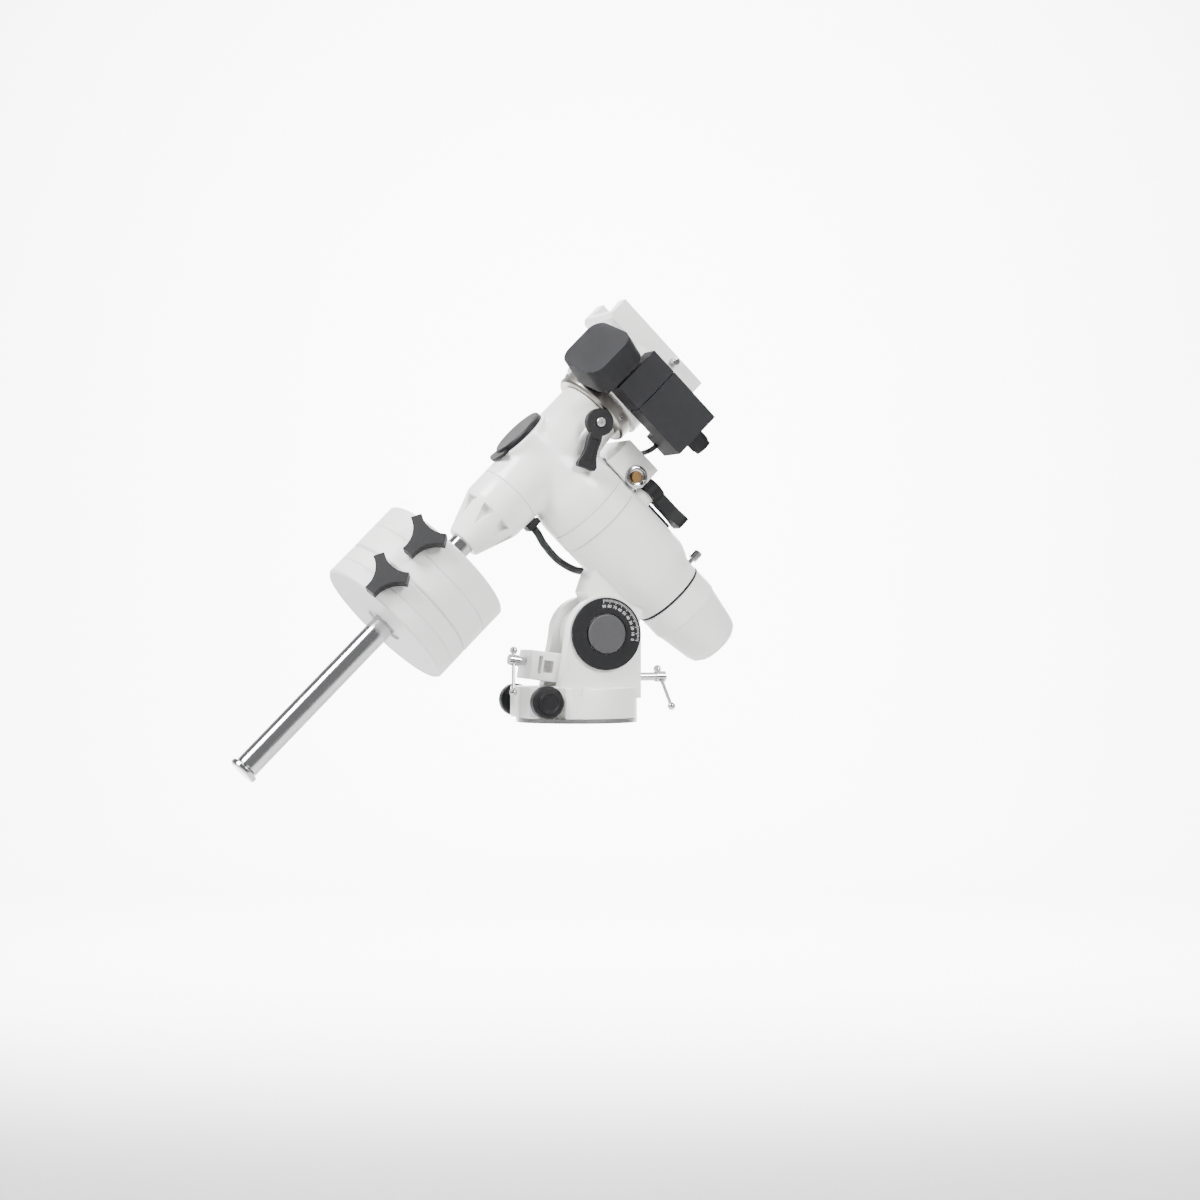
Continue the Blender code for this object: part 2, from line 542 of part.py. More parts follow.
def dec_worm_housing():
    """White round case of the declination wheel, with the block that holds the worm."""
    outline = [(DEC_CASE_R - 1, DEC_CASE_HIGH), (DEC_CASE_R, DEC_CASE_HIGH - 1),
               (DEC_CASE_R, DEC_CASE_LOW + 1), (DEC_CASE_R - 1, DEC_CASE_LOW),
               (DEC_SHAFT_R + RUN, DEC_CASE_LOW), (DEC_SHAFT_R + RUN, DEC_CASE_HIGH)]
    case = turned("dec_worm_housing", outline, WHITE, DEC, steps=36)
    join(case, block("dec_worm_block", (84, -53, -28), (108, -30, 6), frame=POLAR))
    worm_at = (DEC_WORM_Q, DEC_WORM_Y, 0)
    cut(case,
        rod("dec_wheel_hollow", DEC_WHEEL_R + 0.8, 89, 103, frame=DEC, steps=36),
        rod("dec_worm_bore", WORM_R + 0.7, -40, 20, frame=POLAR, at=worm_at))
    turned("dec_worm", [(0, 5.8), (4.5, 5.8), (4.5, 3), (WORM_R, 2), (WORM_R, -24), (4.5, -25),
                        (4.5, -51), (9, -51), (9, -56), (4.5, -56), (4.5, -75), (0, -75)],
           BRASS, POLAR, worm_at, steps=12)
    turned("dec_knob", [(0, -75.6), (4.8, -75.6), (4.8, -67.5), (7.2, -67.5), (8.5, -68.6),
                        (8.5, -78), (7.4, -80), (7.4, -82.2), (0, -82.2)],
           BLACK, POLAR, worm_at, steps=12)


def dec_drive_case():
    """Dark drive case in two halves, hollow and open towards the wheel case."""
    halves = {"dec_drive_case": (BOX_P[0], BOX_SPLIT_P - GAP / 2),
              "dec_drive_case_end": (BOX_SPLIT_P + GAP / 2, BOX_P[1])}
    for name, (low, high) in halves.items():
        shell = block(name, (BOX_Q[0], BOX_Y[0], low), (BOX_Q[1], BOX_Y[1], high), DARK, POLAR)
        if low == BOX_P[0]:
            join(shell, block("case_foot", (BOX_Q[0], BOX_Y[1] - 1, low),
                              (BOX_Q[1], BOX_FOOT_Y, BOX_FOOT_P), frame=POLAR))
            cut(shell,
                block("foot_hollow", (BOX_Q[0] + WALL, BOX_Y[0] + WALL, low + WALL),
                      (BOX_Q[1] - WALL, BOX_FOOT_Y + 5, BOX_FOOT_P - WALL), frame=POLAR),
                rod("knob_bore", 5, -75, -60, frame=POLAR, at=(DEC_WORM_Q, DEC_WORM_Y, 0),
                    steps=12))
            inner = (BOX_FOOT_P - WALL - 1, high + 5)
        else:
            inner = (low - 5, high - WALL)
        cut(shell, block("hollow_of_" + name, (BOX_Q[0] + WALL, BOX_Y[0] + WALL, inner[0]),
                         (BOX_Q[1] - WALL, BOX_Y[1] + 5, inner[1]), frame=POLAR))


def dec_motor():
    """Motor, its bracket and its rounded cover, leaning to the near side."""
    block("dec_motor_bracket", (-20, -17, -6), (20, 8, -GAP), DARK, COVER_FRAME, round_edge=0.8)
    outline = rounded_rectangle(COVER_W, COVER_H, COVER_ROUND)
    cover = plate("dec_motor_cover", outline, COVER_D, DARK, COVER_FRAME, (0, 0, COVER_D / 2))
    rounding = cover.modifiers.new("rounding", "BEVEL")
    rounding.width = 1.2 * MM
    rounding.segments = 2
    rounding.limit_method = "ANGLE"
    hollow = rounded_rectangle(COVER_W - 5, COVER_H - 5, COVER_ROUND - 2.5)
    cut(cover, plate("dec_motor_hollow", hollow, COVER_D, frame=COVER_FRAME,
                     at=(0, 0, COVER_D / 2 - 2.5)))
    rod("dec_motor", 14, GAP, 20, STEEL, COVER_FRAME)


def polar_cap():
    """Black cap on top of the polar axis, with a pull tab on its rim."""
    cap = turned("polar_cap", [(0, 33), (22.3, 33), (23.5, 31.8), (23.5, 28.3), (0, 28.3)], BLACK,
                 POLAR, steps=28)
    tab = arc((0, 0), 31.5, 145, 215, 8) + arc((0, 0), 20, 215, 145, 6)
    join(cap, plate("cap_tab", tab, 2.4, frame=POLAR, at=(0, 0, 29.8)))


def saddle():
    """White saddle with a dovetail channel along the polar direction."""
    profile = [(51, SADDLE_HIGH), (51, 120), (44, SADDLE_LOW), (-30, SADDLE_LOW), (-45, 125),
               (-45, SADDLE_HIGH)]
    body = plate("saddle", [(q, p) for p, q in profile], 2 * SADDLE_HALF_Y, WHITE, POLAR,
                 turn=NEAR)
    top = SADDLE_HIGH + 2
    channel = [(-CHANNEL_WIDE / 2, CHANNEL_BOTTOM), (CHANNEL_WIDE / 2, CHANNEL_BOTTOM),
               (CHANNEL_NARROW / 2, top), (-CHANNEL_NARROW / 2, top)]
    cut(body, plate("dovetail_channel", [(y, z) for y, z in channel], 140, frame=DEC,
                    turn=(90, 0, 90)))
    cut(body, ring("drive_case_sweep", 80, SADDLE_FOOT_R, SADDLE_LOW - 3, BOX_Q[1] + 0.5,
                   frame=DEC, steps=36))
    at = (129.5, 0, -15)
    cut(body, rod("clamp_bore", 3.3, 15, 40, frame=POLAR, at=at, turn=NEAR, steps=12))
    turned("saddle_screw", [(0, 44), (2.6, 44), (3, 43.4), (3, 22.3), (0, 22.3)],
           CHROME, POLAR, at, NEAR, steps=12)


def counterweight_bar():
    turned("counterweight_bar", [(0, -61), (6, -61), (6, -79.5), (BAR_R, BAR_TOP - 0.2),
                                 (BAR_R, BAR_END + 1), (BAR_R - 1, BAR_END), (0, BAR_END)],
           CHROME, DEC)
    turned("bar_end_cap", [(0, BAR_END - GAP), (11.5, BAR_END - GAP), (12.5, BAR_END - 1.2),
                           (12.5, BAR_END - 4), (11.2, BAR_END - 5.2), (0, BAR_END - 5.2)],
           CHROME, DEC, steps=12)


def three_arms():
    """Outline of a knob with three flat-ended arms and hollows between them."""
    reach, half, hollow_at = 18.5, 4.6, 31.0
    x, y = hollow_at * math.cos(math.radians(60)), hollow_at * math.sin(math.radians(60))
    hollow = math.hypot(reach - x, half - y)
    start = math.degrees(math.atan2(half - y, reach - x))
    outline = []
    for i in range(3):
        toward = math.radians(120 * i + 60)
        centre = (hollow_at * math.cos(toward), hollow_at * math.sin(toward))
        outline += arc(centre, hollow, 120 * i + start, 120 * i - 240 - start, 5)
    return outline


def counterweight(side, top, bottom):
    """Weight with a waist groove, its locking screw and three-armed knob."""
    middle, edge, groove = (top + bottom) / 2, 1.6, 1.0
    outline = [(WEIGHT_R - edge, top), (WEIGHT_R, top - edge), (WEIGHT_R, middle + groove),
               (WEIGHT_R - groove, middle), (WEIGHT_R, middle - groove),
               (WEIGHT_R, bottom + edge), (WEIGHT_R - edge, bottom), (17, bottom),
               (17, bottom + 2), (BAR_R + RUN, bottom + 2), (BAR_R + RUN, top)]
    weight = turned("counterweight_" + side, outline, WHITE, DEC, steps=32)
    knob_turn = (0, 90, 180 + KNOB_ANGLE)
    at = (0, 0, middle + KNOB_UP[side])
    cut(weight, rod("lock_bore_" + side, 4.3, 5, 70, frame=DEC, at=at, turn=knob_turn, steps=12))
    knob = plate("weight_knob_" + side, three_arms(), 9, BLACK, DEC,
                 along(at, knob_turn, 69.5), knob_turn)
    join(knob,
         rod("knob_hub_" + side, 6.5, 62.6, 70, frame=DEC, at=at, turn=knob_turn, steps=12),
         rod("knob_screw_" + side, 4, BAR_R + 0.6, 64, frame=DEC, at=at, turn=knob_turn, steps=12))


def along(at, turn, distance):
    """The point a distance along local Z from a place that has been turned."""
    x, y, z = [math.radians(a) for a in turn]
    spin = (Matrix.Rotation(z, 3, "Z") @ Matrix.Rotation(y, 3, "Y") @ Matrix.Rotation(x, 3, "X"))
    return tuple(Vector(at) + spin @ Vector((0, 0, distance)))


# ---------------------------------------------------------------- leads

def lead(name, route, radius, spacing):
    """Round lead along a smooth curve through the points of its route."""
    samples = []
    ends = [2 * Vector(route[0]) - Vector(route[1]), 2 * Vector(route[-1]) - Vector(route[-2])]
    knots = [ends[0]] + [Vector(p) for p in route] + [ends[1]]
    for before, start, end, after in zip(knots, knots[1:], knots[2:], knots[3:]):
        count = max(2, round((end - start).length / spacing))
        for i in range(count):
            t = i / count
            samples.append(0.5 * (2 * start + (end - before) * t
                                  + (2 * before - 5 * start + 4 * end - after) * t ** 2
                                  + (3 * start - before - 3 * end + after) * t ** 3))
    samples.append(knots[-2])
    curve = bpy.data.curves.new(name, "CURVE")
    curve.dimensions = "3D"
    curve.bevel_depth = radius * MM
    curve.bevel_resolution = 2
    curve.use_fill_caps = True
    spline = curve.splines.new("POLY")
    spline.points.add(len(samples) - 1)
    for point, sample in zip(spline.points, samples):
        point.co = (*(sample * MM), 1)
    piece = bpy.data.objects.new(name, curve)
    piece.parent = POLAR
    curve.materials.append(RUBBER)
    PARTS.objects.link(piece)


def leads():
    grommet = block("cable_grommet", (-51, -7, -34), (-38.8, 7, -28.5), BLACK, POLAR,
                    round_edge=1)
    cut(grommet, rod("grommet_relief", RA_COLLAR_R + 0.5, -60, 0, frame=POLAR, steps=36))
    lead("drive_cable", [(-46, 0, -34.7), (-46.3, 0.3, -40), (-47.2, 7, -52), (-43.5, 24, -74),
                         (-34, 40, -95), (-22, 54, -105), (-8, 60.6, -107), (1.4, 61, -107)],
         3.2, 8)
    lead("dec_drive_lead", [(71.2, -32, -54), (68, -31, -54.2), (65, -22, -54.6),
                            (64.6, 0, -56), (64.8, 22, -58), (63.8, 34, -59.6),
                            (60.4, 42.6, -60), (53.8, 44.6, -60)], 2.2, 5)


def build():
    azimuth_plate()
    azimuth_fork()
    latitude_pieces()
    azimuth_adjuster("near", NEAR, -1)
    azimuth_adjuster("far", FAR, 1)
    altitude_bolts()
    ra_housing()
    ra_worm_housing()
    ra_inner_pieces()
    polar_end()
    ra_drive()
    clutch_lever("ra", POLAR, (CLUTCH_BOSS_Q + GAP + RA_LEVER_T / 2, 0, CLUTCH_P), (90, 0, 90),
                 RA_LEVER_T)
    clutch_lever("dec", POLAR, (DEC_LEVER[0], -DEC_BOSS_Y - GAP - DEC_LEVER_T / 2, DEC_LEVER[1]),
                 (90, 62.7, 0), DEC_LEVER_T)
    dec_housing()
    dec_nose()
    declination_shaft()
    dec_worm_housing()
    dec_drive_case()
    dec_motor()
    polar_cap()
    saddle()
    counterweight_bar()
    for side, (top, bottom) in WEIGHTS.items():
        counterweight(side, top, bottom)
    leads()


build()
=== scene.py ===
"""Looks for the equatorial mount head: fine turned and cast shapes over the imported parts,
procedural materials, the dial's marks, the leads, the floor, the lights and the camera.

Sizes are in millimetres unless a name says otherwise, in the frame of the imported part.
"""
import json
import math

import bmesh
import bpy
from mathutils import Matrix, Vector

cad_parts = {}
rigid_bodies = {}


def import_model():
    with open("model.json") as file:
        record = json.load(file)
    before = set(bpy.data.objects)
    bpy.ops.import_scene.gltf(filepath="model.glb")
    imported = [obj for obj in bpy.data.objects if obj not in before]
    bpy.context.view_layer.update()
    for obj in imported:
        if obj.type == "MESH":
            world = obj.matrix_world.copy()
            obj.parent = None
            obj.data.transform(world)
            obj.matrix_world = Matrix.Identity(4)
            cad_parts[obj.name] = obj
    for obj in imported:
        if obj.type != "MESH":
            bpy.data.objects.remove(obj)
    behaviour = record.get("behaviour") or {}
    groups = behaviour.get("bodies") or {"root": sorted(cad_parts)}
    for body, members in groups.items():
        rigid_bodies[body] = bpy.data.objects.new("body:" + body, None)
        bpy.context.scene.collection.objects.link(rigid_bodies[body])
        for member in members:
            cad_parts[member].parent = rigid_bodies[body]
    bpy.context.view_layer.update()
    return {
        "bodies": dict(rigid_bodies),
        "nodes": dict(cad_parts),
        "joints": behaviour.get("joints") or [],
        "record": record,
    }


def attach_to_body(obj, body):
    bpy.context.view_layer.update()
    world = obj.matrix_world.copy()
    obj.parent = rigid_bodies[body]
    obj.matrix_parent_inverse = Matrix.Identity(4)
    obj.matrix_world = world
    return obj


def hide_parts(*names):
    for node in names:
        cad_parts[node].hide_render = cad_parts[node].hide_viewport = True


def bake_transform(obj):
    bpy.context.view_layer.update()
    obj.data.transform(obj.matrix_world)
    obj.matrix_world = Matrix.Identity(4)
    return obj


for leftover in list(bpy.data.objects):
    bpy.data.objects.remove(leftover, do_unlink=True)
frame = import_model()
RECORD = frame["record"]
BODY_OF = {node: body for body, nodes in RECORD["behaviour"]["bodies"].items() for node in nodes}
SLOT_OF = {entry["node"]: entry["material_slot"] for entry in RECORD["subparts"]}

MM = 0.001                      # metres in one millimetre
GAP = 0.3                       # clearance between neighbouring pieces
RUN = 0.4                       # clearance round turning pieces
TOOL_START = math.radians(1.3)  # where a cutter's facets start, clear of the piece's own edges
FINER = 3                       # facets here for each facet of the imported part
KNURLS = 24                     # ridges round a knurled knob
EDGE = 0.35                     # width of the small rounding on every sharp edge

# Driving dimensions
LATITUDE = 45.0                 # degrees, elevation of the polar axis
AXES_CROSS = (-29.4, 0.0, 217.7)    # where the polar and declination axes meet
ALTITUDE_AXIS = (15.7, 73.3)    # x and z of the latitude hinge

BASE_R = 50.5
BASE_TOP = 29.0
PLATE_T = 3.5
POST_R = 14.0
LUG_X, LUG_HALF_Y, LUG_TOP = -50.0, 26.5, 30.0
PEG_X, PEG_R = -40.0, 5.0
AZ_SCREW_Z, AZ_SCREW_R = 17.6, 4.0
AZ_KNOB_Y, AZ_KNOB_R, AZ_KNOB_T = 37.0, 13.5, 14.0

EAR_R = 31.3
EAR_INNER, EAR_OUTER = 15.7, 28.0
ALT_BOLT_R = 6.0
DIAL_R, DIAL_BORE_R, DIAL_T = 30.0, 17.0, 3.0
CAP_R, CAP_T = 16.2, 4.6

TONGUE_R, TONGUE_T = 25.5, 30.4
NOSE_HALF, NOSE_REACH = 7.0, 42.0
TIP_CLEAR = 1.6                 # room for the nose to swing between the two bolts
ALT_BOLT_SCREW_R, ALT_HEAD_R, ALT_HEAD_T = 3.5, 4.6, 9.0
FRONT_BOLT_Z, FRONT_HEAD_X = 37.0, 74.5
REAR_HEAD_X, REAR_HEAD_Z, REAR_TILT = -55.0, 51.7, 8.0
BALL_R, HANDLE_R = 3.3, 1.5

RA_R = 37.5                     # right ascension housing
RA_TOP, RA_END = -70.3, -156.3  # along the polar axis
RA_BORE_R = 26.0
RA_SHAFT_BORE_R = 15.0
RA_COLLAR_R = 38.0
RA_CREASE = -54.3
WHEEL_R, WORM_R = 34.3, 7.0
RA_WORM_Q = WHEEL_R + WORM_R + RUN
RA_WORM_P = -62.0
RA_BLOCK_NEAR, RA_BLOCK_FAR = -25.0, 38.0
CLUTCH_P, CLUTCH_BOSS_Q = -84.0, 44.0
LEVER_HUB_R, LEVER_LENGTH = 11.5, 40.0
RA_LEVER_T, DEC_LEVER_T = 11.0, 7.2

DEC_R = 28.0                    # declination tube
DEC_LOW, DEC_HIGH = -42.0, 58.0
DEC_BORE_R, DEC_SHAFT_R = 22.0, 15.0
DEC_LEVER = (46.6, -4.6)        # where its clutch lever turns, along both axes
DEC_BOSS_Y = 33.6               # how far the clutch boss stands out on the near side
CIRCLE_R, CIRCLE_LOW, CIRCLE_HIGH = 35.0, 58.4, 71.0
CIRCLE_BORE_R = 18.0
DEC_CASE_R, DEC_CASE_LOW, DEC_CASE_HIGH = 38.0, 71.3, 111.6
DEC_WHEEL_R = 35.6
DEC_WORM_Q = 96.0
DEC_WORM_Y = -(DEC_WHEEL_R + WORM_R + RUN)

BOX_Q = (71.6, 116.0)           # declination drive case, along the declination axis
BOX_P = (-67.0, 9.0)            # along the polar axis
BOX_Y = (-62.0, -39.0)
BOX_FOOT_P, BOX_FOOT_Y = -44.0, -25.0
BOX_SPLIT_P = -16.0
WALL = 2.5
MOTOR_Q, MOTOR_Y, MOTOR_P = 83.0, -43.0, 22.8
MOTOR_TILT = 28.0
COVER_W, COVER_H, COVER_D, COVER_ROUND = 48.0, 50.0, 24.0, 13.0
RA_COVER_W, RA_COVER_H, RA_COVER_D, RA_COVER_ROUND = 40.0, 38.0, 28.0, 11.0

SADDLE_LOW, SADDLE_HIGH, SADDLE_HALF_Y = 112.0, 136.0, 35.0
SADDLE_FOOT_R = 38.0            # round foot that turns past the drive case
CHANNEL_BOTTOM, CHANNEL_WIDE, CHANNEL_NARROW = 123.0, 46.0, 37.0

BAR_R, BAR_TOP, BAR_END = 10.0, -79.5, -355.0
WEIGHT_R = 62.0
KNOB_UP = {"upper": 9.0, "lower": 3.0}    # how far above each weight's groove its knob sits
WEIGHTS = {"upper": (-118.0, -163.6), "lower": (-164.0, -193.3)}
KNOB_ANGLE = 57.0               # from the polar direction round to the near side
KNOB_OUT = 69.5                 # middle of each knob's arms, from the bar's axis

CASTING_P = (-54.0, 28.0)       # ends of the T casting along the polar axis
BOSS_KEPT_R = 11.0              # the clutch boss keeps its edges inside this radius
CRISP, FADE = 3.0, 8.0          # unsoftened margin at the casting's ends, and how fast it fades

DIAL_START, DIAL_STEP = 96.0, 2.4   # degrees round the dial for its first mark and each step
DIAL_TICKS, TICKS_PER_NUMBER = 46, 5

FLOOR_Z = -0.62                 # the rest of this group is in metres, watts and degrees
FLOOR_NEAR, FLOOR_FAR, FLOOR_HALF = -6.0, 5.0, 9.0
WALL_TOP, WALL_CURVE = 7.0, 1.0
BACKDROP_LIT_AT, BACKDROP_LIT_Z = 4.6, 0.6
WORLD_LIGHT = 0.3
BACKDROP_WATTS = 520
CAMERA_AZIMUTH = -19.5          # 0 looks along +Y
CAMERA_DISTANCE = 2.5
CAMERA_SIDE, CAMERA_HEIGHT = 0.0196, 0.1013
CAMERA_LENS = 90.0              # millimetres

PARTS = bpy.data.collections.new("fine_pieces")
CUTTERS = bpy.data.collections.new("cutters")
for group in (PARTS, CUTTERS):
    bpy.context.scene.collection.children.link(group)


def metres(*values):
    return Vector(values) * MM


def add_node(tree, kind, **values):
    node = tree.nodes.new(kind)
    for name, value in values.items():
        if name in node.inputs:
            node.inputs[name].default_value = value
        else:
            setattr(node, name, value)
    return node


def surface(name, color, rough, metal=0.0, mottle=0.04, grain=900.0, bump=0.05, rough_vary=0.08,
            coat=0.0, gloss=0.5):
    """Principled finish whose colour, roughness and height all come from noise in the piece."""
    material = bpy.data.materials.new(name)
    material.use_nodes = True
    tree = material.node_tree
    shader = tree.nodes["Principled BSDF"]
    shader.inputs["Metallic"].default_value = metal
    shader.inputs["Coat Weight"].default_value = coat
    shader.inputs["Specular IOR Level"].default_value = gloss
    place_at = add_node(tree, "ShaderNodeTexCoord")
    cloud = add_node(tree, "ShaderNodeTexNoise", Scale=45.0, Detail=4.0)
    fine = add_node(tree, "ShaderNodeTexNoise", Scale=grain, Detail=3.0)
    for noise in (cloud, fine):
        tree.links.new(place_at.outputs["Object"], noise.inputs["Vector"])
    blend = add_node(tree, "ShaderNodeMix", data_type="RGBA")
    light = [min(1.0, c * (1 + mottle)) for c in color]
    dark = [c * (1 - mottle) for c in color]
    blend.inputs[6].default_value = (*dark, 1)
    blend.inputs[7].default_value = (*light, 1)
    tree.links.new(cloud.outputs["Fac"], blend.inputs[0])
    tree.links.new(blend.outputs[2], shader.inputs["Base Color"])
    spread = add_node(tree, "ShaderNodeMapRange")
    spread.inputs["To Min"].default_value = max(0.02, rough - rough_vary)
    spread.inputs["To Max"].default_value = min(1.0, rough + rough_vary)
    tree.links.new(fine.outputs["Fac"], spread.inputs["Value"])
    tree.links.new(spread.outputs["Result"], shader.inputs["Roughness"])
    height = add_node(tree, "ShaderNodeBump", Strength=bump, Distance=0.0004)
    tree.links.new(fine.outputs["Fac"], height.inputs["Height"])
    tree.links.new(height.outputs["Normal"], shader.inputs["Normal"])
    return material


WHITE = surface("white_paint", (0.86, 0.86, 0.84), 0.32, mottle=0.012, grain=1100, bump=0.12,
                rough_vary=0.06, coat=0.25)
WEIGHT = surface("weight_paint", (0.80, 0.80, 0.785), 0.42, mottle=0.03, grain=1300, bump=0.5)
BLACK = surface("black_plastic", (0.010, 0.010, 0.011), 0.5, mottle=0.12, grain=1600, bump=0.12,
                gloss=0.2)
DARK = surface("dark_case", (0.015, 0.015, 0.017), 0.62, mottle=0.06, grain=2200, bump=0.4,
               gloss=0.2)
GREY = surface("grey_cap", (0.06, 0.06, 0.063), 0.62, mottle=0.05, grain=2000, bump=0.3,
               gloss=0.2)
CHROME = surface("chrome", (0.55, 0.55, 0.56), 0.12, 1.0, mottle=0.02, grain=500, bump=0.015,
                 rough_vary=0.04)
STEEL = surface("steel", (0.50, 0.50, 0.49), 0.3, 1.0, mottle=0.05, grain=700, bump=0.05)
ALUMINIUM = surface("aluminium", (0.40, 0.385, 0.36), 0.32, 1.0, mottle=0.1, grain=700, bump=0.1)
BRASS = surface("brass", (0.30, 0.18, 0.075), 0.32, 1.0, mottle=0.1, grain=700, bump=0.05)
RUBBER = surface("cable_rubber", (0.014, 0.014, 0.014), 0.55, mottle=0.1, grain=1800, bump=0.15,
                 gloss=0.3)
MARKS = surface("dial_marks", (0.62, 0.62, 0.62), 0.5, mottle=0.02, grain=1500, bump=0.05)
BY_SLOT = {"white_paint": WHITE, "black_plastic": BLACK, "dark_case": DARK, "grey_cap": GREY,
           "chrome": CHROME, "steel": STEEL, "aluminium": ALUMINIUM, "brass": BRASS,
           "cable": RUBBER}


def make_frame(name, parent, location, rotation):
    frame = bpy.data.objects.new(name, None)
    frame.parent = parent
    frame.location = metres(*location)
    frame.rotation_euler = [math.radians(a) for a in rotation]
    PARTS.objects.link(frame)
    return frame


# In the polar frame X is the declination axis and Z the polar axis; in the declination frame
# Z is the declination axis and X points down the polar axis.
POLAR = make_frame("polar_frame", None, AXES_CROSS, (0, LATITUDE - 90, 0))
DEC = make_frame("declination_frame", POLAR, (0, 0, 0), (0, 90, 0))
COVER_FRAME = make_frame("motor_frame", POLAR, (MOTOR_Q, MOTOR_Y, MOTOR_P), (MOTOR_TILT, 0, 0))
NEAR = (90, 0, 0)               # turns local Z to face the near side, -Y
FAR = (-90, 0, 0)
ALONG_X = (0, 90, 0)


def place(name, data, material, frame, at, turn):
    """Put a mesh among the fine pieces, or among the cutters when it has no material."""
    piece = bpy.data.objects.new(name if material is None else "fine_" + name, data)
    piece.parent = frame
    piece.location = metres(*at)
    piece.rotation_euler = [math.radians(a) for a in turn]
    if material is None:
        CUTTERS.objects.link(piece)
        piece.hide_render = True
        piece.display_type = "WIRE"
    else:
        PARTS.objects.link(piece)
        data.materials.append(material)
        piece["node"] = name
    return piece


def turned(name, outline, material=None, frame=None, at=(0, 0, 0), turn=(0, 0, 0), steps=24):
    """A turned piece: (radius, height) points run down the outside and back up any bore."""
    data = bpy.data.meshes.new(name)
    shape = bmesh.new()
    start = 0 if material else TOOL_START
    points = [shape.verts.new(metres(r * math.cos(start), r * math.sin(start), z))
              for r, z in outline]
    for first, second in zip(points, points[1:]):
        shape.edges.new((first, second))
    if outline[0][0] > 0:
        shape.edges.new((points[-1], points[0]))
    shape.to_mesh(data)
    shape.free()
    piece = place(name, data, material, frame, at, turn)
    screw = piece.modifiers.new("turn", "SCREW")
    screw.axis = "Z"
    screw.steps = screw.render_steps = steps * FINER
    screw.use_merge_vertices = True
    screw.merge_threshold = 0.00001
    screw.use_smooth_shade = False
    return piece


def rod(name, radius, low, high, material=None, frame=None, at=(0, 0, 0), turn=(0, 0, 0),
        steps=12):
    outline = [(0, high), (radius, high), (radius, low), (0, low)]
    return turned(name, outline, material, frame, at, turn, steps)


def ring(name, outer, inner, low, high, material=None, frame=None, at=(0, 0, 0), turn=(0, 0, 0),
         steps=24):
    outline = [(outer, high), (outer, low), (inner, low), (inner, high)]
    return turned(name, outline, material, frame, at, turn, steps)


def block(name, low, high, material=None, frame=None, at=(0, 0, 0), turn=(0, 0, 0), round_edge=0):
    """A box between two corners, with its edges rounded when asked."""
    shape = bmesh.new()
    bmesh.ops.create_cube(shape, size=1.0)
    size = [(b - a) * MM for a, b in zip(low, high)]
    middle = [(a + b) / 2 * MM for a, b in zip(low, high)]
    bmesh.ops.scale(shape, vec=size, verts=shape.verts)
    bmesh.ops.translate(shape, vec=middle, verts=shape.verts)
    if round_edge:
        bmesh.ops.bevel(shape, geom=shape.edges[:], offset=round_edge * MM, segments=4,
                        affect="EDGES", profile=0.5)
    data = bpy.data.meshes.new(name)
    shape.to_mesh(data)
    shape.free()
    return place(name, data, material, frame, at, turn)


def arc(centre, radius, start, end, steps):
    """Points along an arc, with angles in degrees."""
    steps *= FINER
    angles = [math.radians(start + (end - start) * i / steps) for i in range(steps + 1)]
    return [(centre[0] + radius * math.cos(a), centre[1] + radius * math.sin(a)) for a in angles]


def plate(name, outline, thickness, material=None, frame=None, at=(0, 0, 0), turn=(0, 0, 0)):
    """A flat outline thickened evenly both ways, turned into a mesh so that it can be cut."""
    curve = bpy.data.curves.new(name, "CURVE")
    curve.dimensions = "2D"
    curve.fill_mode = "BOTH"
    curve.extrude = thickness / 2 * MM
    spline = curve.splines.new("POLY")
    spline.points.add(len(outline) - 1)
    for point, (x, y) in zip(spline.points, outline):
        point.co = (x * MM, y * MM, 0, 1)
    spline.use_cyclic_u = True
    holder = bpy.data.objects.new(name + "_outline", curve)
    CUTTERS.objects.link(holder)
    bpy.context.view_layer.update()
    evaluated = holder.evaluated_get(bpy.context.evaluated_depsgraph_get())
    data = bpy.data.meshes.new_from_object(evaluated)
    data.name = name
    bpy.data.objects.remove(holder)
    shape = bmesh.new()
    shape.from_mesh(data)
    bmesh.ops.remove_doubles(shape, verts=shape.verts, dist=0.00001)
    bmesh.ops.recalc_face_normals(shape, faces=shape.faces)
    shape.to_mesh(data)
    shape.free()
    return place(name, data, material, frame, at, turn)


def combine(target, tool, operation):
    step = target.modifiers.new(operation.lower() + "_" + tool.name, "BOOLEAN")
    step.operation = operation
    step.solver = "EXACT"
    step.object = tool


def join(target, *tools):
    for tool in tools:
        combine(target, tool, "UNION")


def cut(target, *tools):
    for tool in tools:
        combine(target, tool, "DIFFERENCE")


# ---------------------------------------------------------------- azimuth base and fork

def ear(name, y):
    """One cheek of the fork, round about the latitude hinge."""
    x, z = ALTITUDE_AXIS
    foot = BASE_TOP - 9
    outline = [(x + EAR_R, foot)] + arc((x, z), EAR_R, 0, 180, 20) + [(-23, 34), (-25.5, foot)]
    return plate(name, outline, EAR_OUTER - EAR_INNER, at=(0, y, 0), turn=NEAR)


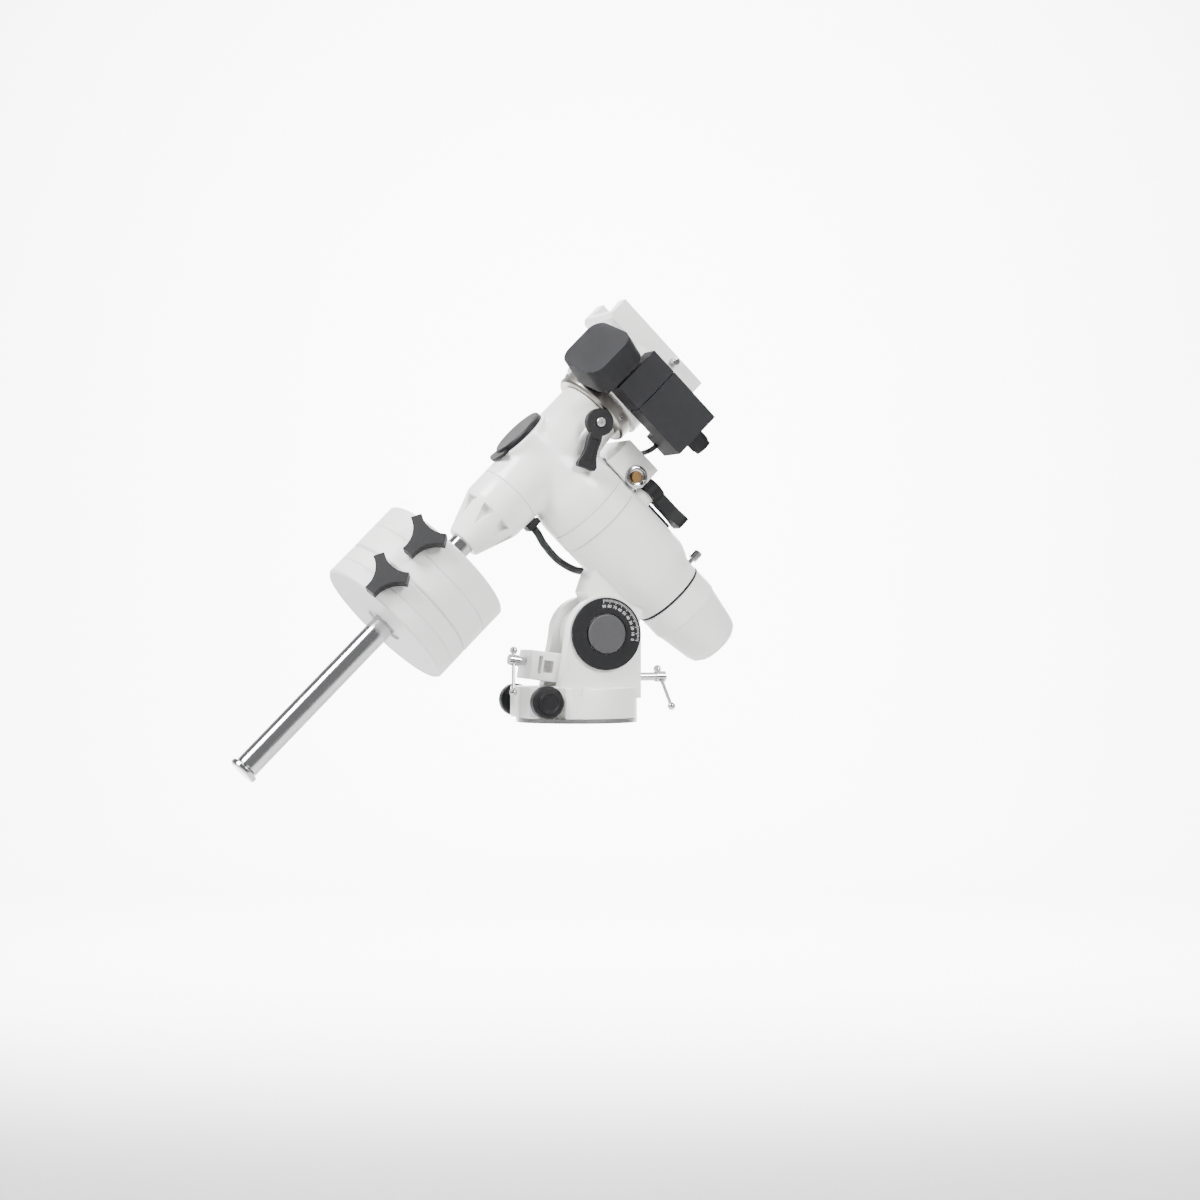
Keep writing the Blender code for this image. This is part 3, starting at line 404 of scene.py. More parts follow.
def azimuth_fork():
    """White casting that turns on the plate: ring, lug, two cheeks and both bolt bridges."""
    x, z = ALTITUDE_AXIS
    outline = [(0, BASE_TOP), (BASE_R - 1.5, BASE_TOP), (BASE_R - 0.4, BASE_TOP - 0.5),
               (BASE_R, BASE_TOP - 1.5), (BASE_R, PLATE_T + GAP), (POST_R + RUN, PLATE_T + GAP),
               (POST_R + RUN, 26.6), (0, 26.6)]
    fork = turned("azimuth_fork", outline, WHITE, steps=36)
    cheek_y = (EAR_OUTER + EAR_INNER) / 2
    rear_turn = (0, REAR_TILT, 0)
    rear_at = (-31.5, 0, 46.5)
    join(fork,
         block("azimuth_lug", (LUG_X, -LUG_HALF_Y, PLATE_T + GAP), (-20, LUG_HALF_Y, LUG_TOP),
               round_edge=2),
         ear("near_ear", -cheek_y), ear("far_ear", cheek_y),
         block("front_bridge", (40, -17, BASE_TOP - 2), (x + EAR_R - 0.1, 17, 46)),
         block("rear_bridge", (-14, -17.5, -12), (13, 17.5, 12), at=rear_at, turn=rear_turn,
               round_edge=0.8))
    cut(fork,
        block("near_lug_flat", (-60, -60, 0), (-24.5, -LUG_HALF_Y, 40)),
        block("far_lug_flat", (-60, LUG_HALF_Y, 0), (-24.5, 60, 40)),
        block("peg_chamber", (PEG_X - 6.5, -13, 0), (PEG_X + 6.5, 13, 27)),
        rod("azimuth_screw_bore", AZ_SCREW_R + GAP, -30, 30, at=(PEG_X, 0, AZ_SCREW_Z), turn=NEAR),
        rod("latitude_bore", ALT_BOLT_R + GAP, -32, 32, at=(x, 0, z), turn=NEAR),
        rod("front_bolt_bore", ALT_BOLT_SCREW_R + GAP, 35, 52, at=(0, 0, FRONT_BOLT_Z),
            turn=ALONG_X),
        rod("rear_bolt_bore", ALT_BOLT_SCREW_R + GAP, -60, 5, at=(REAR_HEAD_X, 0, REAR_HEAD_Z),
            turn=(0, REAR_TILT - 90, 0)),
        block("rear_window", (-3.5, -20, -5), (5.5, -5, 5), at=rear_at, turn=rear_turn),
        block("rear_slot", (-8, -20, -6.5), (-4.5, -11, 8), at=rear_at, turn=rear_turn),
        block("level_notch", (-19.5, -60, 22.5), (-8, -39, 32)))


def latitude_pieces():
    """Dial and its cap."""
    x, z = ALTITUDE_AXIS
    near = (x, -EAR_OUTER - GAP, z)
    ring("latitude_scale", DIAL_R, DIAL_BORE_R, 0, DIAL_T, BLACK, at=near, turn=NEAR, steps=36)
    turned("latitude_scale_cap", [(0, CAP_T), (CAP_R - 0.6, CAP_T), (CAP_R, CAP_T - 0.6),
                                  (CAP_R, 0), (10, 0), (10, 3.2), (0, 3.2)],
           GREY, at=near, turn=NEAR)


def azimuth_adjuster(side, facing, sign):
    """Knob and screw that push on the peg from one side."""
    at = (PEG_X, sign * AZ_KNOB_Y, AZ_SCREW_Z)
    tip = PEG_R + GAP - AZ_KNOB_Y
    turned("azimuth_knob_" + side,
           [(0, 13), (6.8, 13), (7.6, AZ_KNOB_T), (8.6, 13.2), (8.6, 11), (12.4, 10.4),
            (AZ_KNOB_R, 9), (AZ_KNOB_R, 1.2), (12.4, 0), (AZ_SCREW_R + GAP, 0),
            (AZ_SCREW_R + GAP, 6.6), (0, 6.6)], BLACK, at=at, turn=facing, steps=16)
    turned("azimuth_screw_" + side,
           [(0, 6), (AZ_SCREW_R, 6), (AZ_SCREW_R, tip + 1.6), (2.6, tip), (0, tip)],
           STEEL, at=at, turn=facing, steps=12)


def ball_bar(name, up, down, at, turn):
    """Cross handle with a ball on each end."""
    top = [(BALL_R * math.cos(a), up + BALL_R * math.sin(a))
           for a in [math.radians(90 - 30 * i) for i in range(5)]]
    bottom = [(r, -down - (z - up)) for r, z in reversed(top)]
    outline = top + [(HANDLE_R, up - BALL_R), (HANDLE_R, BALL_R - down)] + bottom
    outline[0] = (0, outline[0][1])
    outline[-1] = (0, outline[-1][1])
    return turned(name, outline, CHROME, at=at, turn=turn, steps=12)


def altitude_bolt(side, head, tip_length, bolt_turn, handle_turn, up, down):
    """Bolt that pushes on the nose of the polar body, with its cross handle."""
    r, half = ALT_BOLT_SCREW_R, ALT_HEAD_T / 2
    dome = [(r * math.cos(a), r - tip_length - r * math.sin(a))
            for a in [math.radians(22.5 * i) for i in range(4)]]
    bolt = turned("altitude_bolt_" + side,
                  [(0, half), (ALT_HEAD_R - 0.6, half), (ALT_HEAD_R, half - 0.6),
                   (ALT_HEAD_R, -half), (r, -half)] + dome + [(0, -tip_length)],
                  CHROME, at=head, turn=bolt_turn, steps=14)
    cut(bolt, rod("handle_bore_" + side, HANDLE_R + GAP, -8, 8, at=head, turn=handle_turn))
    ball_bar("altitude_handle_" + side, up, down, head, handle_turn)


def altitude_bolts():
    """The two bolts that hold the polar body's nose between them."""
    x = ALTITUDE_AXIS[0]
    reach = FRONT_HEAD_X - (x + NOSE_HALF + TIP_CLEAR)
    altitude_bolt("front", (FRONT_HEAD_X, 0, FRONT_BOLT_Z), reach, ALONG_X, (-48, 0, 0), 9.4, 35.9)
    rear_reach = (x - NOSE_HALF - TIP_CLEAR - REAR_HEAD_X) / math.cos(math.radians(REAR_TILT))
    altitude_bolt("rear", (REAR_HEAD_X, 0, REAR_HEAD_Z), rear_reach, (0, REAR_TILT - 90, 0),
                  (-22, REAR_TILT, 0), 8.6, 29.0)


# ---------------------------------------------------------------- polar body

def hinge_in_polar_frame():
    """The latitude hinge's place along the declination and polar directions."""
    dx, dz = ALTITUDE_AXIS[0] - AXES_CROSS[0], ALTITUDE_AXIS[1] - AXES_CROSS[2]
    lean = math.radians(LATITUDE)
    return (dx * math.sin(lean) + dz * math.cos(lean), dz * math.sin(lean) - dx * math.cos(lean))


def ra_housing():
    """White tube of the polar axis, with the tongue that hinges in the fork."""
    q, p = hinge_in_polar_frame()
    outline = [(RA_R, RA_TOP), (RA_R, -130), (36.8, -134), (34.5, -140), (31.8, -145),
               (31, -149), (31, RA_END), (RA_BORE_R, RA_END), (RA_BORE_R, RA_TOP)]
    housing = turned("ra_housing", outline, WHITE, POLAR, steps=36)
    tongue = [(-31, -93), (-39, -94), (-46, -97), (-54, -101)]
    tongue += arc((q, p), TONGUE_R, 62, 285, 22) + [(-44, -155), (-36, -150), (-29.5, -147)]
    nose = block("tongue_nose", (-NOSE_HALF, 0.4 - TONGUE_T / 2, -NOSE_REACH),
                 (NOSE_HALF, TONGUE_T / 2 - 0.4, 0), frame=POLAR, at=(q, 0, p),
                 turn=(0, 90 - LATITUDE, 0))
    join(housing, plate("tongue", tongue, TONGUE_T, frame=POLAR, turn=NEAR), nose,
         rod("ra_clutch_boss", 8, 30, CLUTCH_BOSS_Q, frame=POLAR, at=(0, 0, CLUTCH_P),
             turn=ALONG_X))
    cut(housing,
        rod("ra_bore", RA_BORE_R, -170, -60, frame=POLAR, steps=36),
        rod("tongue_bore", ALT_BOLT_R + GAP, -20, 20, frame=POLAR, at=(q, 0, p), turn=NEAR),
        rod("ra_lock_bore", 2.3, 20, 50, frame=POLAR, at=(0, 0, -152), turn=ALONG_X, steps=10),
        rod("ra_clutch_bore", 3.3, 20, 50, frame=POLAR, at=(0, 0, CLUTCH_P), turn=ALONG_X,
            steps=14))


def ra_worm_housing():
    """White band round the worm wheel, with the block that holds the worm."""
    band = ring("ra_worm_housing", RA_COLLAR_R, 35.4, RA_TOP + 0.6, RA_CREASE, WHITE, POLAR,
                steps=36)
    join(band, block("worm_block", (33, RA_BLOCK_NEAR, -68.5), (60, RA_BLOCK_FAR, -35.8),
                     frame=POLAR, round_edge=1.2),
         block("worm_block_foot", (38.4, RA_BLOCK_NEAR, -72), (60, RA_BLOCK_FAR, -60), frame=POLAR,
               round_edge=1.2))
    cut(band,
        rod("casting_clearance", 38.9, RA_CREASE, -20, frame=POLAR, steps=36),
        rod("wheel_clearance", 35.4, -80, -50, frame=POLAR, steps=36),
        rod("ra_worm_bore", WORM_R + 0.7, -60, 60, frame=POLAR, at=(RA_WORM_Q, 0, RA_WORM_P),
            turn=NEAR),
        rod("ra_worm_counterbore", 9.8, 22, 60, frame=POLAR, at=(RA_WORM_Q, 0, RA_WORM_P),
            turn=NEAR))


def ra_worm():
    """Worm of the polar axis and the bush seen in its bore."""
    worm_at = (RA_WORM_Q, 0, RA_WORM_P)
    turned("ra_worm", [(0, 26.5), (4.5, 26.5), (4.5, 15), (WORM_R, 14), (WORM_R, -14), (4.5, -15),
                       (4.5, -40.5), (8.5, -40.5), (8.5, -45), (4.5, -45), (4.5, -47), (0, -47)],
           BRASS, POLAR, worm_at, NEAR, steps=12)
    turned("ra_worm_bush", [(8.2, 27.2), (9.5, 26.6), (9.5, 22.3), (4.8, 22.3), (4.8, 25),
                            (6.6, 25.6), (7.2, 27.2)], CHROME, POLAR, worm_at, NEAR)


def polar_end():
    """Setting circle, ring, cover and finder on the lower end of the polar axis."""
    ring("ra_setting_circle", 31.7, RA_BORE_R, RA_END - 1.5, RA_END - GAP, BLACK, POLAR, steps=36)
    turned("polar_ring", [(31.4, -158.2), (31.4, -178), (RA_SHAFT_BORE_R + GAP, -178),
                          (RA_SHAFT_BORE_R + GAP, -158.2)], WHITE, POLAR, steps=36)
    turned("polar_cover", [(0, -218.5), (12, -217.2), (20.5, -212.5), (22.8, -208), (28, -178.3),
                           (30.5, -178.3), (25.2, -209), (23, -214.5), (18, -218.5),
                           (10, -220.6), (0, -221)], WHITE, POLAR, steps=36)
    turned("polar_finder", [(14.6, -136), (14.6, -176), (11, -180), (11, -206), (8, -206),
                            (8, -136)], BLACK, POLAR)
    turned("ra_lock_screw", [(0, 44.5), (3, 44.5), (3.6, 43.9), (3.6, 36), (2, 36), (2, 28),
                             (0, 28)], CHROME, POLAR, (0, 0, -152), ALONG_X,
           steps=KNURLS)["knurl"] = 3.4


def ra_drive():
    """Gear tray, motor and motor cover behind the polar housing."""
    tray = block("ra_gearbox", (-2, 38.8, -128), (53, 50, -48), DARK, POLAR, round_edge=1.5)
    cut(tray, block("ra_gearbox_hollow", (0, 40.3, -126), (51, 48, -50), frame=POLAR),
        rod("worm_gear_hole", 10, 30, 42, frame=POLAR, at=(RA_WORM_Q, 0, RA_WORM_P), turn=FAR))
    outline = rounded_rectangle(RA_COVER_W, RA_COVER_H, RA_COVER_ROUND)
    cover_at = (22, 64.3, -107)
    cover = plate("ra_motor_cover", outline, RA_COVER_D, DARK, POLAR, cover_at, FAR)
    hollow = rounded_rectangle(RA_COVER_W - 4, RA_COVER_H - 4, RA_COVER_ROUND - 2)
    cut(cover, plate("ra_motor_hollow", hollow, RA_COVER_D, frame=POLAR,
                     at=(22, 61.8, -107), turn=FAR))


def rounded_rectangle(width, height, radius):
    x, y = width / 2 - radius, height / 2 - radius
    return (arc((x, y), radius, 0, 90, 5) + arc((-x, y), radius, 90, 180, 5)
            + arc((-x, -y), radius, 180, 270, 5) + arc((x, -y), radius, 270, 360, 5))


# ---------------------------------------------------------------- levers

def clutch_lever(prefix, frame, at, turn, thick):
    """Lever with a round hub and a flared end, held by one screw; its arm runs along -Y."""
    half, flare, reach = 5.0, 8.3, LEVER_LENGTH
    outline = arc((0, 0), LEVER_HUB_R, -64, 244, 18)
    outline += [(-half - 0.5, -15), (-half, -24), (-half - 0.8, 10 - reach)]
    outline += [(-flare, 3 - reach), (-flare + 1, -reach), (flare - 1, -reach),
                (flare, 3 - reach), (half + 0.8, 10 - reach),
                (half, -24), (half + 0.5, -15)]
    lever = plate(prefix + "_clutch_lever", outline, thick, BLACK, frame, at, turn)
    cut(lever, rod(prefix + "_lever_bore", 3.3, -10, 10, frame=frame, at=at, turn=turn, steps=12))
    channel = block(prefix + "_lever_channel", (-3.1, -34, thick / 2 - 0.9), (3.1, -14.5, 12),
                    frame=frame, at=at, turn=turn)
    cut(lever, channel)
    seat = thick / 2 + GAP
    screw = turned(prefix + "_clutch_screw",
                   [(0, seat + 2.2), (3.2, seat + 2.2), (3.8, seat + 1.6), (3.8, seat), (3, seat),
                    (3, -11), (0, -11)], STEEL, frame, at, turn, steps=12)
    for length, width in ((2.2, 0.45), (0.45, 2.2)):
        cut(screw, block("%s_recess_%.2f" % (prefix, length), (-length, -width, seat + 0.8),
                         (length, width, seat + 4), frame=frame, at=at, turn=turn))


# ---------------------------------------------------------------- declination body

def dec_housing():
    """White T casting: the polar collar and the declination tube."""
    outline = [(25.4, 28), (26, 27.2), (26.4, 21), (27.2, 12), (28.6, 1), (31, -12), (33.5, -24),
               (36, -31), (37.6, -38), (RA_COLLAR_R, -44), (RA_COLLAR_R, RA_CREASE + 0.3),
               (31, RA_CREASE + 0.3), (31, -46), (RA_SHAFT_BORE_R, -46), (RA_SHAFT_BORE_R, 28)]
    casting = turned("dec_housing", outline, WHITE, POLAR, steps=36)
    boss_at = (DEC_LEVER[0], 0, DEC_LEVER[1])
    join(casting,
         rod("dec_tube", DEC_R, DEC_LOW, DEC_HIGH, frame=DEC, steps=28),
         rod("dec_clutch_boss", 8.5, 18, DEC_BOSS_Y, frame=POLAR, at=boss_at, turn=NEAR))
    cut(casting,
        rod("dec_bore", DEC_BORE_R, DEC_LOW - 5, DEC_HIGH + 5, frame=DEC, steps=28),
        rod("dec_clutch_bore", 3.3, 10, 40, frame=POLAR, at=boss_at, turn=NEAR, steps=12))


def dec_nose():
    """Fluted cone that carries the lower end of the declination shaft."""
    outline = [(27.9, DEC_LOW - GAP), (27.9, -46), (27.6, -62), (27, -64), (15.2, -97),
               (14.2, -98), (10.4, -98), (10.4, -80.5), (16.5, -80.5), (16.5, DEC_LOW - GAP)]
    nose = turned("dec_nose", outline, WHITE, DEC, steps=28)
    for i in range(8):
        angle = 22.5 + 45 * i
        a = math.radians(angle)
        outline = [(0, 0), (6, 20), (-6, 20)]
        flute = plate("nose_flute_%d" % i, outline, 8, frame=DEC,
                      at=(23.6 * math.cos(a), 23.6 * math.sin(a), -86.5),
                      turn=(90, 0, angle + 90))
        cut(nose, flute)


def setting_circle():
    """Bare aluminium circle of the declination axis, with three small set screws."""
    turned("dec_setting_circle", [(33.4, CIRCLE_HIGH), (CIRCLE_R, 69.8), (CIRCLE_R, 60.4),
                                  (33.4, CIRCLE_LOW), (CIRCLE_BORE_R, CIRCLE_LOW),
                                  (CIRCLE_BORE_R, CIRCLE_HIGH)], ALUMINIUM, DEC, steps=36)
    for i in range(3):
        a = math.radians(-62 + 120 * i)
        rod("circle_screw_%d" % i, 1.5, CIRCLE_R - 1, CIRCLE_R + 1.1, CHROME, DEC, (0, 0, 65),
            (0, 90, math.degrees(a)))["goes_with"] = "dec_setting_circle"


def dec_worm_housing():
    """White round case of the declination wheel, with the block that holds the worm."""
    outline = [(DEC_CASE_R - 1, DEC_CASE_HIGH), (DEC_CASE_R, DEC_CASE_HIGH - 1),
               (DEC_CASE_R, DEC_CASE_LOW + 1), (DEC_CASE_R - 1, DEC_CASE_LOW),
               (DEC_SHAFT_R + RUN, DEC_CASE_LOW), (DEC_SHAFT_R + RUN, DEC_CASE_HIGH)]
    case = turned("dec_worm_housing", outline, WHITE, DEC, steps=36)
    join(case, block("dec_worm_block", (84, -53, -28), (108, -30, 6), frame=POLAR))
    worm_at = (DEC_WORM_Q, DEC_WORM_Y, 0)
    cut(case,
        rod("dec_wheel_hollow", DEC_WHEEL_R + 0.8, 89, 103, frame=DEC, steps=36),
        rod("dec_worm_bore", WORM_R + 0.7, -40, 20, frame=POLAR, at=worm_at))
    turned("dec_worm", [(0, 5.8), (4.5, 5.8), (4.5, 3), (WORM_R, 2), (WORM_R, -24), (4.5, -25),
                        (4.5, -51), (9, -51), (9, -56), (4.5, -56), (4.5, -75), (0, -75)],
           BRASS, POLAR, worm_at, steps=12)
    turned("dec_knob", [(0, -75.6), (4.8, -75.6), (4.8, -67.5), (7.2, -67.5), (8.5, -68.6),
                        (8.5, -78), (7.4, -80), (7.4, -82.2), (0, -82.2)],
           BLACK, POLAR, worm_at, steps=KNURLS)["knurl"] = 8.0


def dec_drive_case():
    """Dark drive case in two halves, hollow and open towards the wheel case."""
    halves = {"dec_drive_case": (BOX_P[0], BOX_SPLIT_P - GAP / 2),
              "dec_drive_case_end": (BOX_SPLIT_P + GAP / 2, BOX_P[1])}
    for name, (low, high) in halves.items():
        shell = block(name, (BOX_Q[0], BOX_Y[0], low), (BOX_Q[1], BOX_Y[1], high), DARK, POLAR)
        if low == BOX_P[0]:
            join(shell, block("case_foot", (BOX_Q[0], BOX_Y[1] - 1, low),
                              (BOX_Q[1], BOX_FOOT_Y, BOX_FOOT_P), frame=POLAR))
            cut(shell,
                block("foot_hollow", (BOX_Q[0] + WALL, BOX_Y[0] + WALL, low + WALL),
                      (BOX_Q[1] - WALL, BOX_FOOT_Y + 5, BOX_FOOT_P - WALL), frame=POLAR),
                rod("knob_bore", 5, -75, -60, frame=POLAR, at=(DEC_WORM_Q, DEC_WORM_Y, 0),
                    steps=12))
            inner = (BOX_FOOT_P - WALL - 1, high + 5)
        else:
            inner = (low - 5, high - WALL)
        cut(shell, block("hollow_of_" + name, (BOX_Q[0] + WALL, BOX_Y[0] + WALL, inner[0]),
                         (BOX_Q[1] - WALL, BOX_Y[1] + 5, inner[1]), frame=POLAR))


def dec_motor():
    """Motor, its bracket and its rounded cover, leaning to the near side."""
    block("dec_motor_bracket", (-20, -17, -6), (20, 8, -GAP), DARK, COVER_FRAME, round_edge=0.8)
    outline = rounded_rectangle(COVER_W, COVER_H, COVER_ROUND)
    cover = plate("dec_motor_cover", outline, COVER_D, DARK, COVER_FRAME, (0, 0, COVER_D / 2))
    rounding = cover.modifiers.new("rounding", "BEVEL")
    rounding.width = 1.2 * MM
    rounding.segments = 2
    rounding.limit_method = "ANGLE"
    hollow = rounded_rectangle(COVER_W - 5, COVER_H - 5, COVER_ROUND - 2.5)
    cut(cover, plate("dec_motor_hollow", hollow, COVER_D, frame=COVER_FRAME,
                     at=(0, 0, COVER_D / 2 - 2.5)))


def polar_cap():
    """Black cap on top of the polar axis, with a pull tab on its rim."""
    cap = turned("polar_cap", [(0, 33), (22.3, 33), (23.5, 31.8), (23.5, 28.3), (0, 28.3)], BLACK,
                 POLAR, steps=28)
    tab = arc((0, 0), 31.5, 145, 215, 8) + arc((0, 0), 20, 215, 145, 6)
    join(cap, plate("cap_tab", tab, 2.4, frame=POLAR, at=(0, 0, 29.8)))


def saddle():
    """White saddle with a dovetail channel along the polar direction."""
    profile = [(51, SADDLE_HIGH), (51, 120), (44, SADDLE_LOW), (-30, SADDLE_LOW), (-45, 125),
               (-45, SADDLE_HIGH)]
    body = plate("saddle", [(q, p) for p, q in profile], 2 * SADDLE_HALF_Y, WHITE, POLAR,
                 turn=NEAR)
    top = SADDLE_HIGH + 2
    channel = [(-CHANNEL_WIDE / 2, CHANNEL_BOTTOM), (CHANNEL_WIDE / 2, CHANNEL_BOTTOM),
               (CHANNEL_NARROW / 2, top), (-CHANNEL_NARROW / 2, top)]
    cut(body, plate("dovetail_channel", channel, 140, frame=DEC, turn=(90, 0, 90)))
    cut(body, ring("drive_case_sweep", 80, SADDLE_FOOT_R, SADDLE_LOW - 3, BOX_Q[1] + 0.5,
                   frame=DEC, steps=36))
    at = (129.5, 0, -15)
    cut(body, rod("clamp_bore", 3.3, 15, 40, frame=POLAR, at=at, turn=NEAR, steps=12))
    turned("saddle_screw", [(0, 44), (2.6, 44), (3, 43.4), (3, 22.3), (0, 22.3)],
           CHROME, POLAR, at, NEAR, steps=12)


def counterweight_bar():
    """Chrome bar with a wider cap that keeps the weights on."""
    turned("counterweight_bar", [(0, -61), (6, -61), (6, -79.5), (BAR_R, BAR_TOP - 0.2),
                                 (BAR_R, BAR_END + 1), (BAR_R - 1, BAR_END), (0, BAR_END)],
           CHROME, DEC)
    turned("bar_end_cap", [(0, BAR_END - GAP), (11.5, BAR_END - GAP), (12.5, BAR_END - 1.2),
                           (12.5, BAR_END - 4), (11.2, BAR_END - 5.2), (0, BAR_END - 5.2)],
           CHROME, DEC, steps=12)


def three_arms():
    """Outline of a knob with three flat-ended arms and hollows between them."""
    reach, half, hollow_at = 18.5, 4.6, 31.0
    x, y = hollow_at * math.cos(math.radians(60)), hollow_at * math.sin(math.radians(60))
    hollow = math.hypot(reach - x, half - y)
    start = math.degrees(math.atan2(half - y, reach - x))
    outline = []
    for i in range(3):
        toward = math.radians(120 * i + 60)
        centre = (hollow_at * math.cos(toward), hollow_at * math.sin(toward))
        outline += arc(centre, hollow, 120 * i + start, 120 * i - 240 - start, 5)
    return outline


def counterweight(side, top, bottom):
    """Weight with a waist groove, its locking screw and three-armed knob."""
    middle, edge, groove = (top + bottom) / 2, 1.6, 1.0
    outline = [(WEIGHT_R - edge, top), (WEIGHT_R, top - edge), (WEIGHT_R, middle + groove),
               (WEIGHT_R - groove, middle), (WEIGHT_R, middle - groove),
               (WEIGHT_R, bottom + edge), (WEIGHT_R - edge, bottom), (17, bottom),
               (17, bottom + 2), (BAR_R + RUN, bottom + 2), (BAR_R + RUN, top)]
    weight = turned("counterweight_" + side, outline, WEIGHT, DEC, steps=32)
    knob_turn = (0, 90, 180 + KNOB_ANGLE)
    at = (0, 0, middle + KNOB_UP[side])
    cut(weight, rod("lock_bore_" + side, 4.3, 5, 70, frame=DEC, at=at, turn=knob_turn, steps=12))
    knob = plate("weight_knob_" + side, three_arms(), 9, BLACK, DEC,
                 along(at, knob_turn, KNOB_OUT), knob_turn)
    join(knob,
         rod("knob_hub_" + side, 6.5, 62.6, 70, frame=DEC, at=at, turn=knob_turn, steps=12),
         rod("knob_screw_" + side, 4, BAR_R + 0.6, 64, frame=DEC, at=at, turn=knob_turn, steps=12))


def along(at, turn, distance):
    """The point a distance along local Z from a place that has been turned."""
    x, y, z = [math.radians(a) for a in turn]
    spin = (Matrix.Rotation(z, 3, "Z") @ Matrix.Rotation(y, 3, "Y") @ Matrix.Rotation(x, 3, "X"))
    return tuple(Vector(at) + spin @ Vector((0, 0, distance)))


# ---------------------------------------------------------------- leads

def smooth_route(route, spacing):
    """Points along a smooth curve through the points of a route."""
    samples = []
    ends = [2 * Vector(route[0]) - Vector(route[1]), 2 * Vector(route[-1]) - Vector(route[-2])]
    knots = [ends[0]] + [Vector(p) for p in route] + [ends[1]]
    for before, start, end, after in zip(knots, knots[1:], knots[2:], knots[3:]):
        count = max(2, round((end - start).length / spacing))
        for i in range(count):
            t = i / count
            samples.append(0.5 * (2 * start + (end - before) * t
                                  + (2 * before - 5 * start + 4 * end - after) * t ** 2
                                  + (3 * start - before - 3 * end + after) * t ** 3))
    samples.append(knots[-2])
    return samples


def cable_tube(name, route, radius, spacing):
    """A lead as a smooth tube that runs between two bodies."""
    samples = smooth_route(route, spacing)
    points = [POLAR.matrix_world @ (sample * MM) for sample in samples]
    curve = bpy.data.curves.new(name, "CURVE")
    curve.dimensions = "3D"
    curve.bevel_depth = radius * MM
    curve.bevel_resolution = 6
    curve.use_fill_caps = True
    spline = curve.splines.new("POLY")
    spline.points.add(len(points) - 1)
    for point, place_at in zip(spline.points, points):
        point.co = (*place_at, 1)
    holder = bpy.data.objects.new(name + "_line", curve)
    PARTS.objects.link(holder)
    bpy.context.view_layer.update()
    evaluated = holder.evaluated_get(bpy.context.evaluated_depsgraph_get())
    data = bpy.data.meshes.new_from_object(evaluated)
    bpy.data.objects.remove(holder)
    shape = bmesh.new()
    shape.from_mesh(data)
    bmesh.ops.remove_doubles(shape, verts=shape.verts, dist=0.00001)
    shape.to_mesh(data)
    shape.free()
    data.materials.clear()
    data.materials.append(RUBBER)
    data.shade_smooth()
    tube = bpy.data.objects.new("fine_" + name, data)
    PARTS.objects.link(tube)
    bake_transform(tube)
    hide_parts(name)


def leads():
    """The drive cable with its grommet, and the short lead between the two drives."""
    grommet = block("cable_grommet", (-51, -7, -34), (-38.8, 7, -28.5), BLACK, POLAR,
                    round_edge=1)
    cut(grommet, rod("grommet_relief", RA_COLLAR_R + 0.5, -60, 0, frame=POLAR, steps=36))
    route = [(-46, 0, -34.7), (-46.3, 0.3, -40), (-47.2, 7, -52), (-43.5, 24, -74),
             (-34, 40, -95), (-22, 54, -105), (-8, 60.6, -107), (1.4, 61, -107)]
    cable_tube("drive_cable", route, 3.2, 2.5)
    route = [(71.2, -32, -54), (68, -31, -54.2), (65, -22, -54.6), (64.6, 0, -56),
             (64.8, 22, -58), (63.8, 34, -59.6), (60.4, 42.6, -60), (53.8, 44.6, -60)]
    cable_tube("dec_drive_lead", route, 2.2, 2)


def build():
    azimuth_fork()
    latitude_pieces()
    azimuth_adjuster("near", NEAR, -1)
    azimuth_adjuster("far", FAR, 1)
    altitude_bolts()
    ra_housing()
    ra_worm_housing()
    ra_worm()
    polar_end()
    ra_drive()
    clutch_lever("ra", POLAR, (CLUTCH_BOSS_Q + GAP + RA_LEVER_T / 2, 0, CLUTCH_P), (90, 0, 90),
                 RA_LEVER_T)
    clutch_lever("dec", POLAR, (DEC_LEVER[0], -DEC_BOSS_Y - GAP - DEC_LEVER_T / 2, DEC_LEVER[1]),
                 (90, 62.7, 0), DEC_LEVER_T)
    dec_housing()
    dec_nose()
    setting_circle()
    dec_worm_housing()
    dec_drive_case()
    dec_motor()
    polar_cap()
    saddle()
    counterweight_bar()
    for side, (top, bottom) in WEIGHTS.items():
        counterweight(side, top, bottom)
    leads()


# ---------------------------------------------------------------- finishing the fine pieces

def bake_shape(piece):
    """Keep the piece's evaluated shape as its mesh, without doubled points or needless edges."""
    bpy.context.view_layer.update()
    evaluated = piece.evaluated_get(bpy.context.evaluated_depsgraph_get())
    data = bpy.data.meshes.new_from_object(evaluated)
    materials = list(piece.data.materials)
    piece.modifiers.clear()
    piece.data = data
    data.materials.clear()
    for material in materials:
        data.materials.append(material)
    shape = bmesh.new()
    shape.from_mesh(data)
    bmesh.ops.remove_doubles(shape, verts=shape.verts, dist=0.00001)
    bmesh.ops.dissolve_limit(shape, angle_limit=math.radians(0.2), verts=shape.verts,
                             edges=shape.edges)
    shape.to_mesh(data)
    shape.free()
    data.shade_smooth()
    data.set_sharp_from_angle(angle=math.radians(32))


def round_edges(piece, width=EDGE):
    bevel = piece.modifiers.new("edge", "BEVEL")
    bevel.width = width * MM
    bevel.segments = 2
    bevel.limit_method = "ANGLE"
    bevel.angle_limit = math.radians(38)
    bevel.harden_normals = True
    bevel.use_clamp_overlap = True


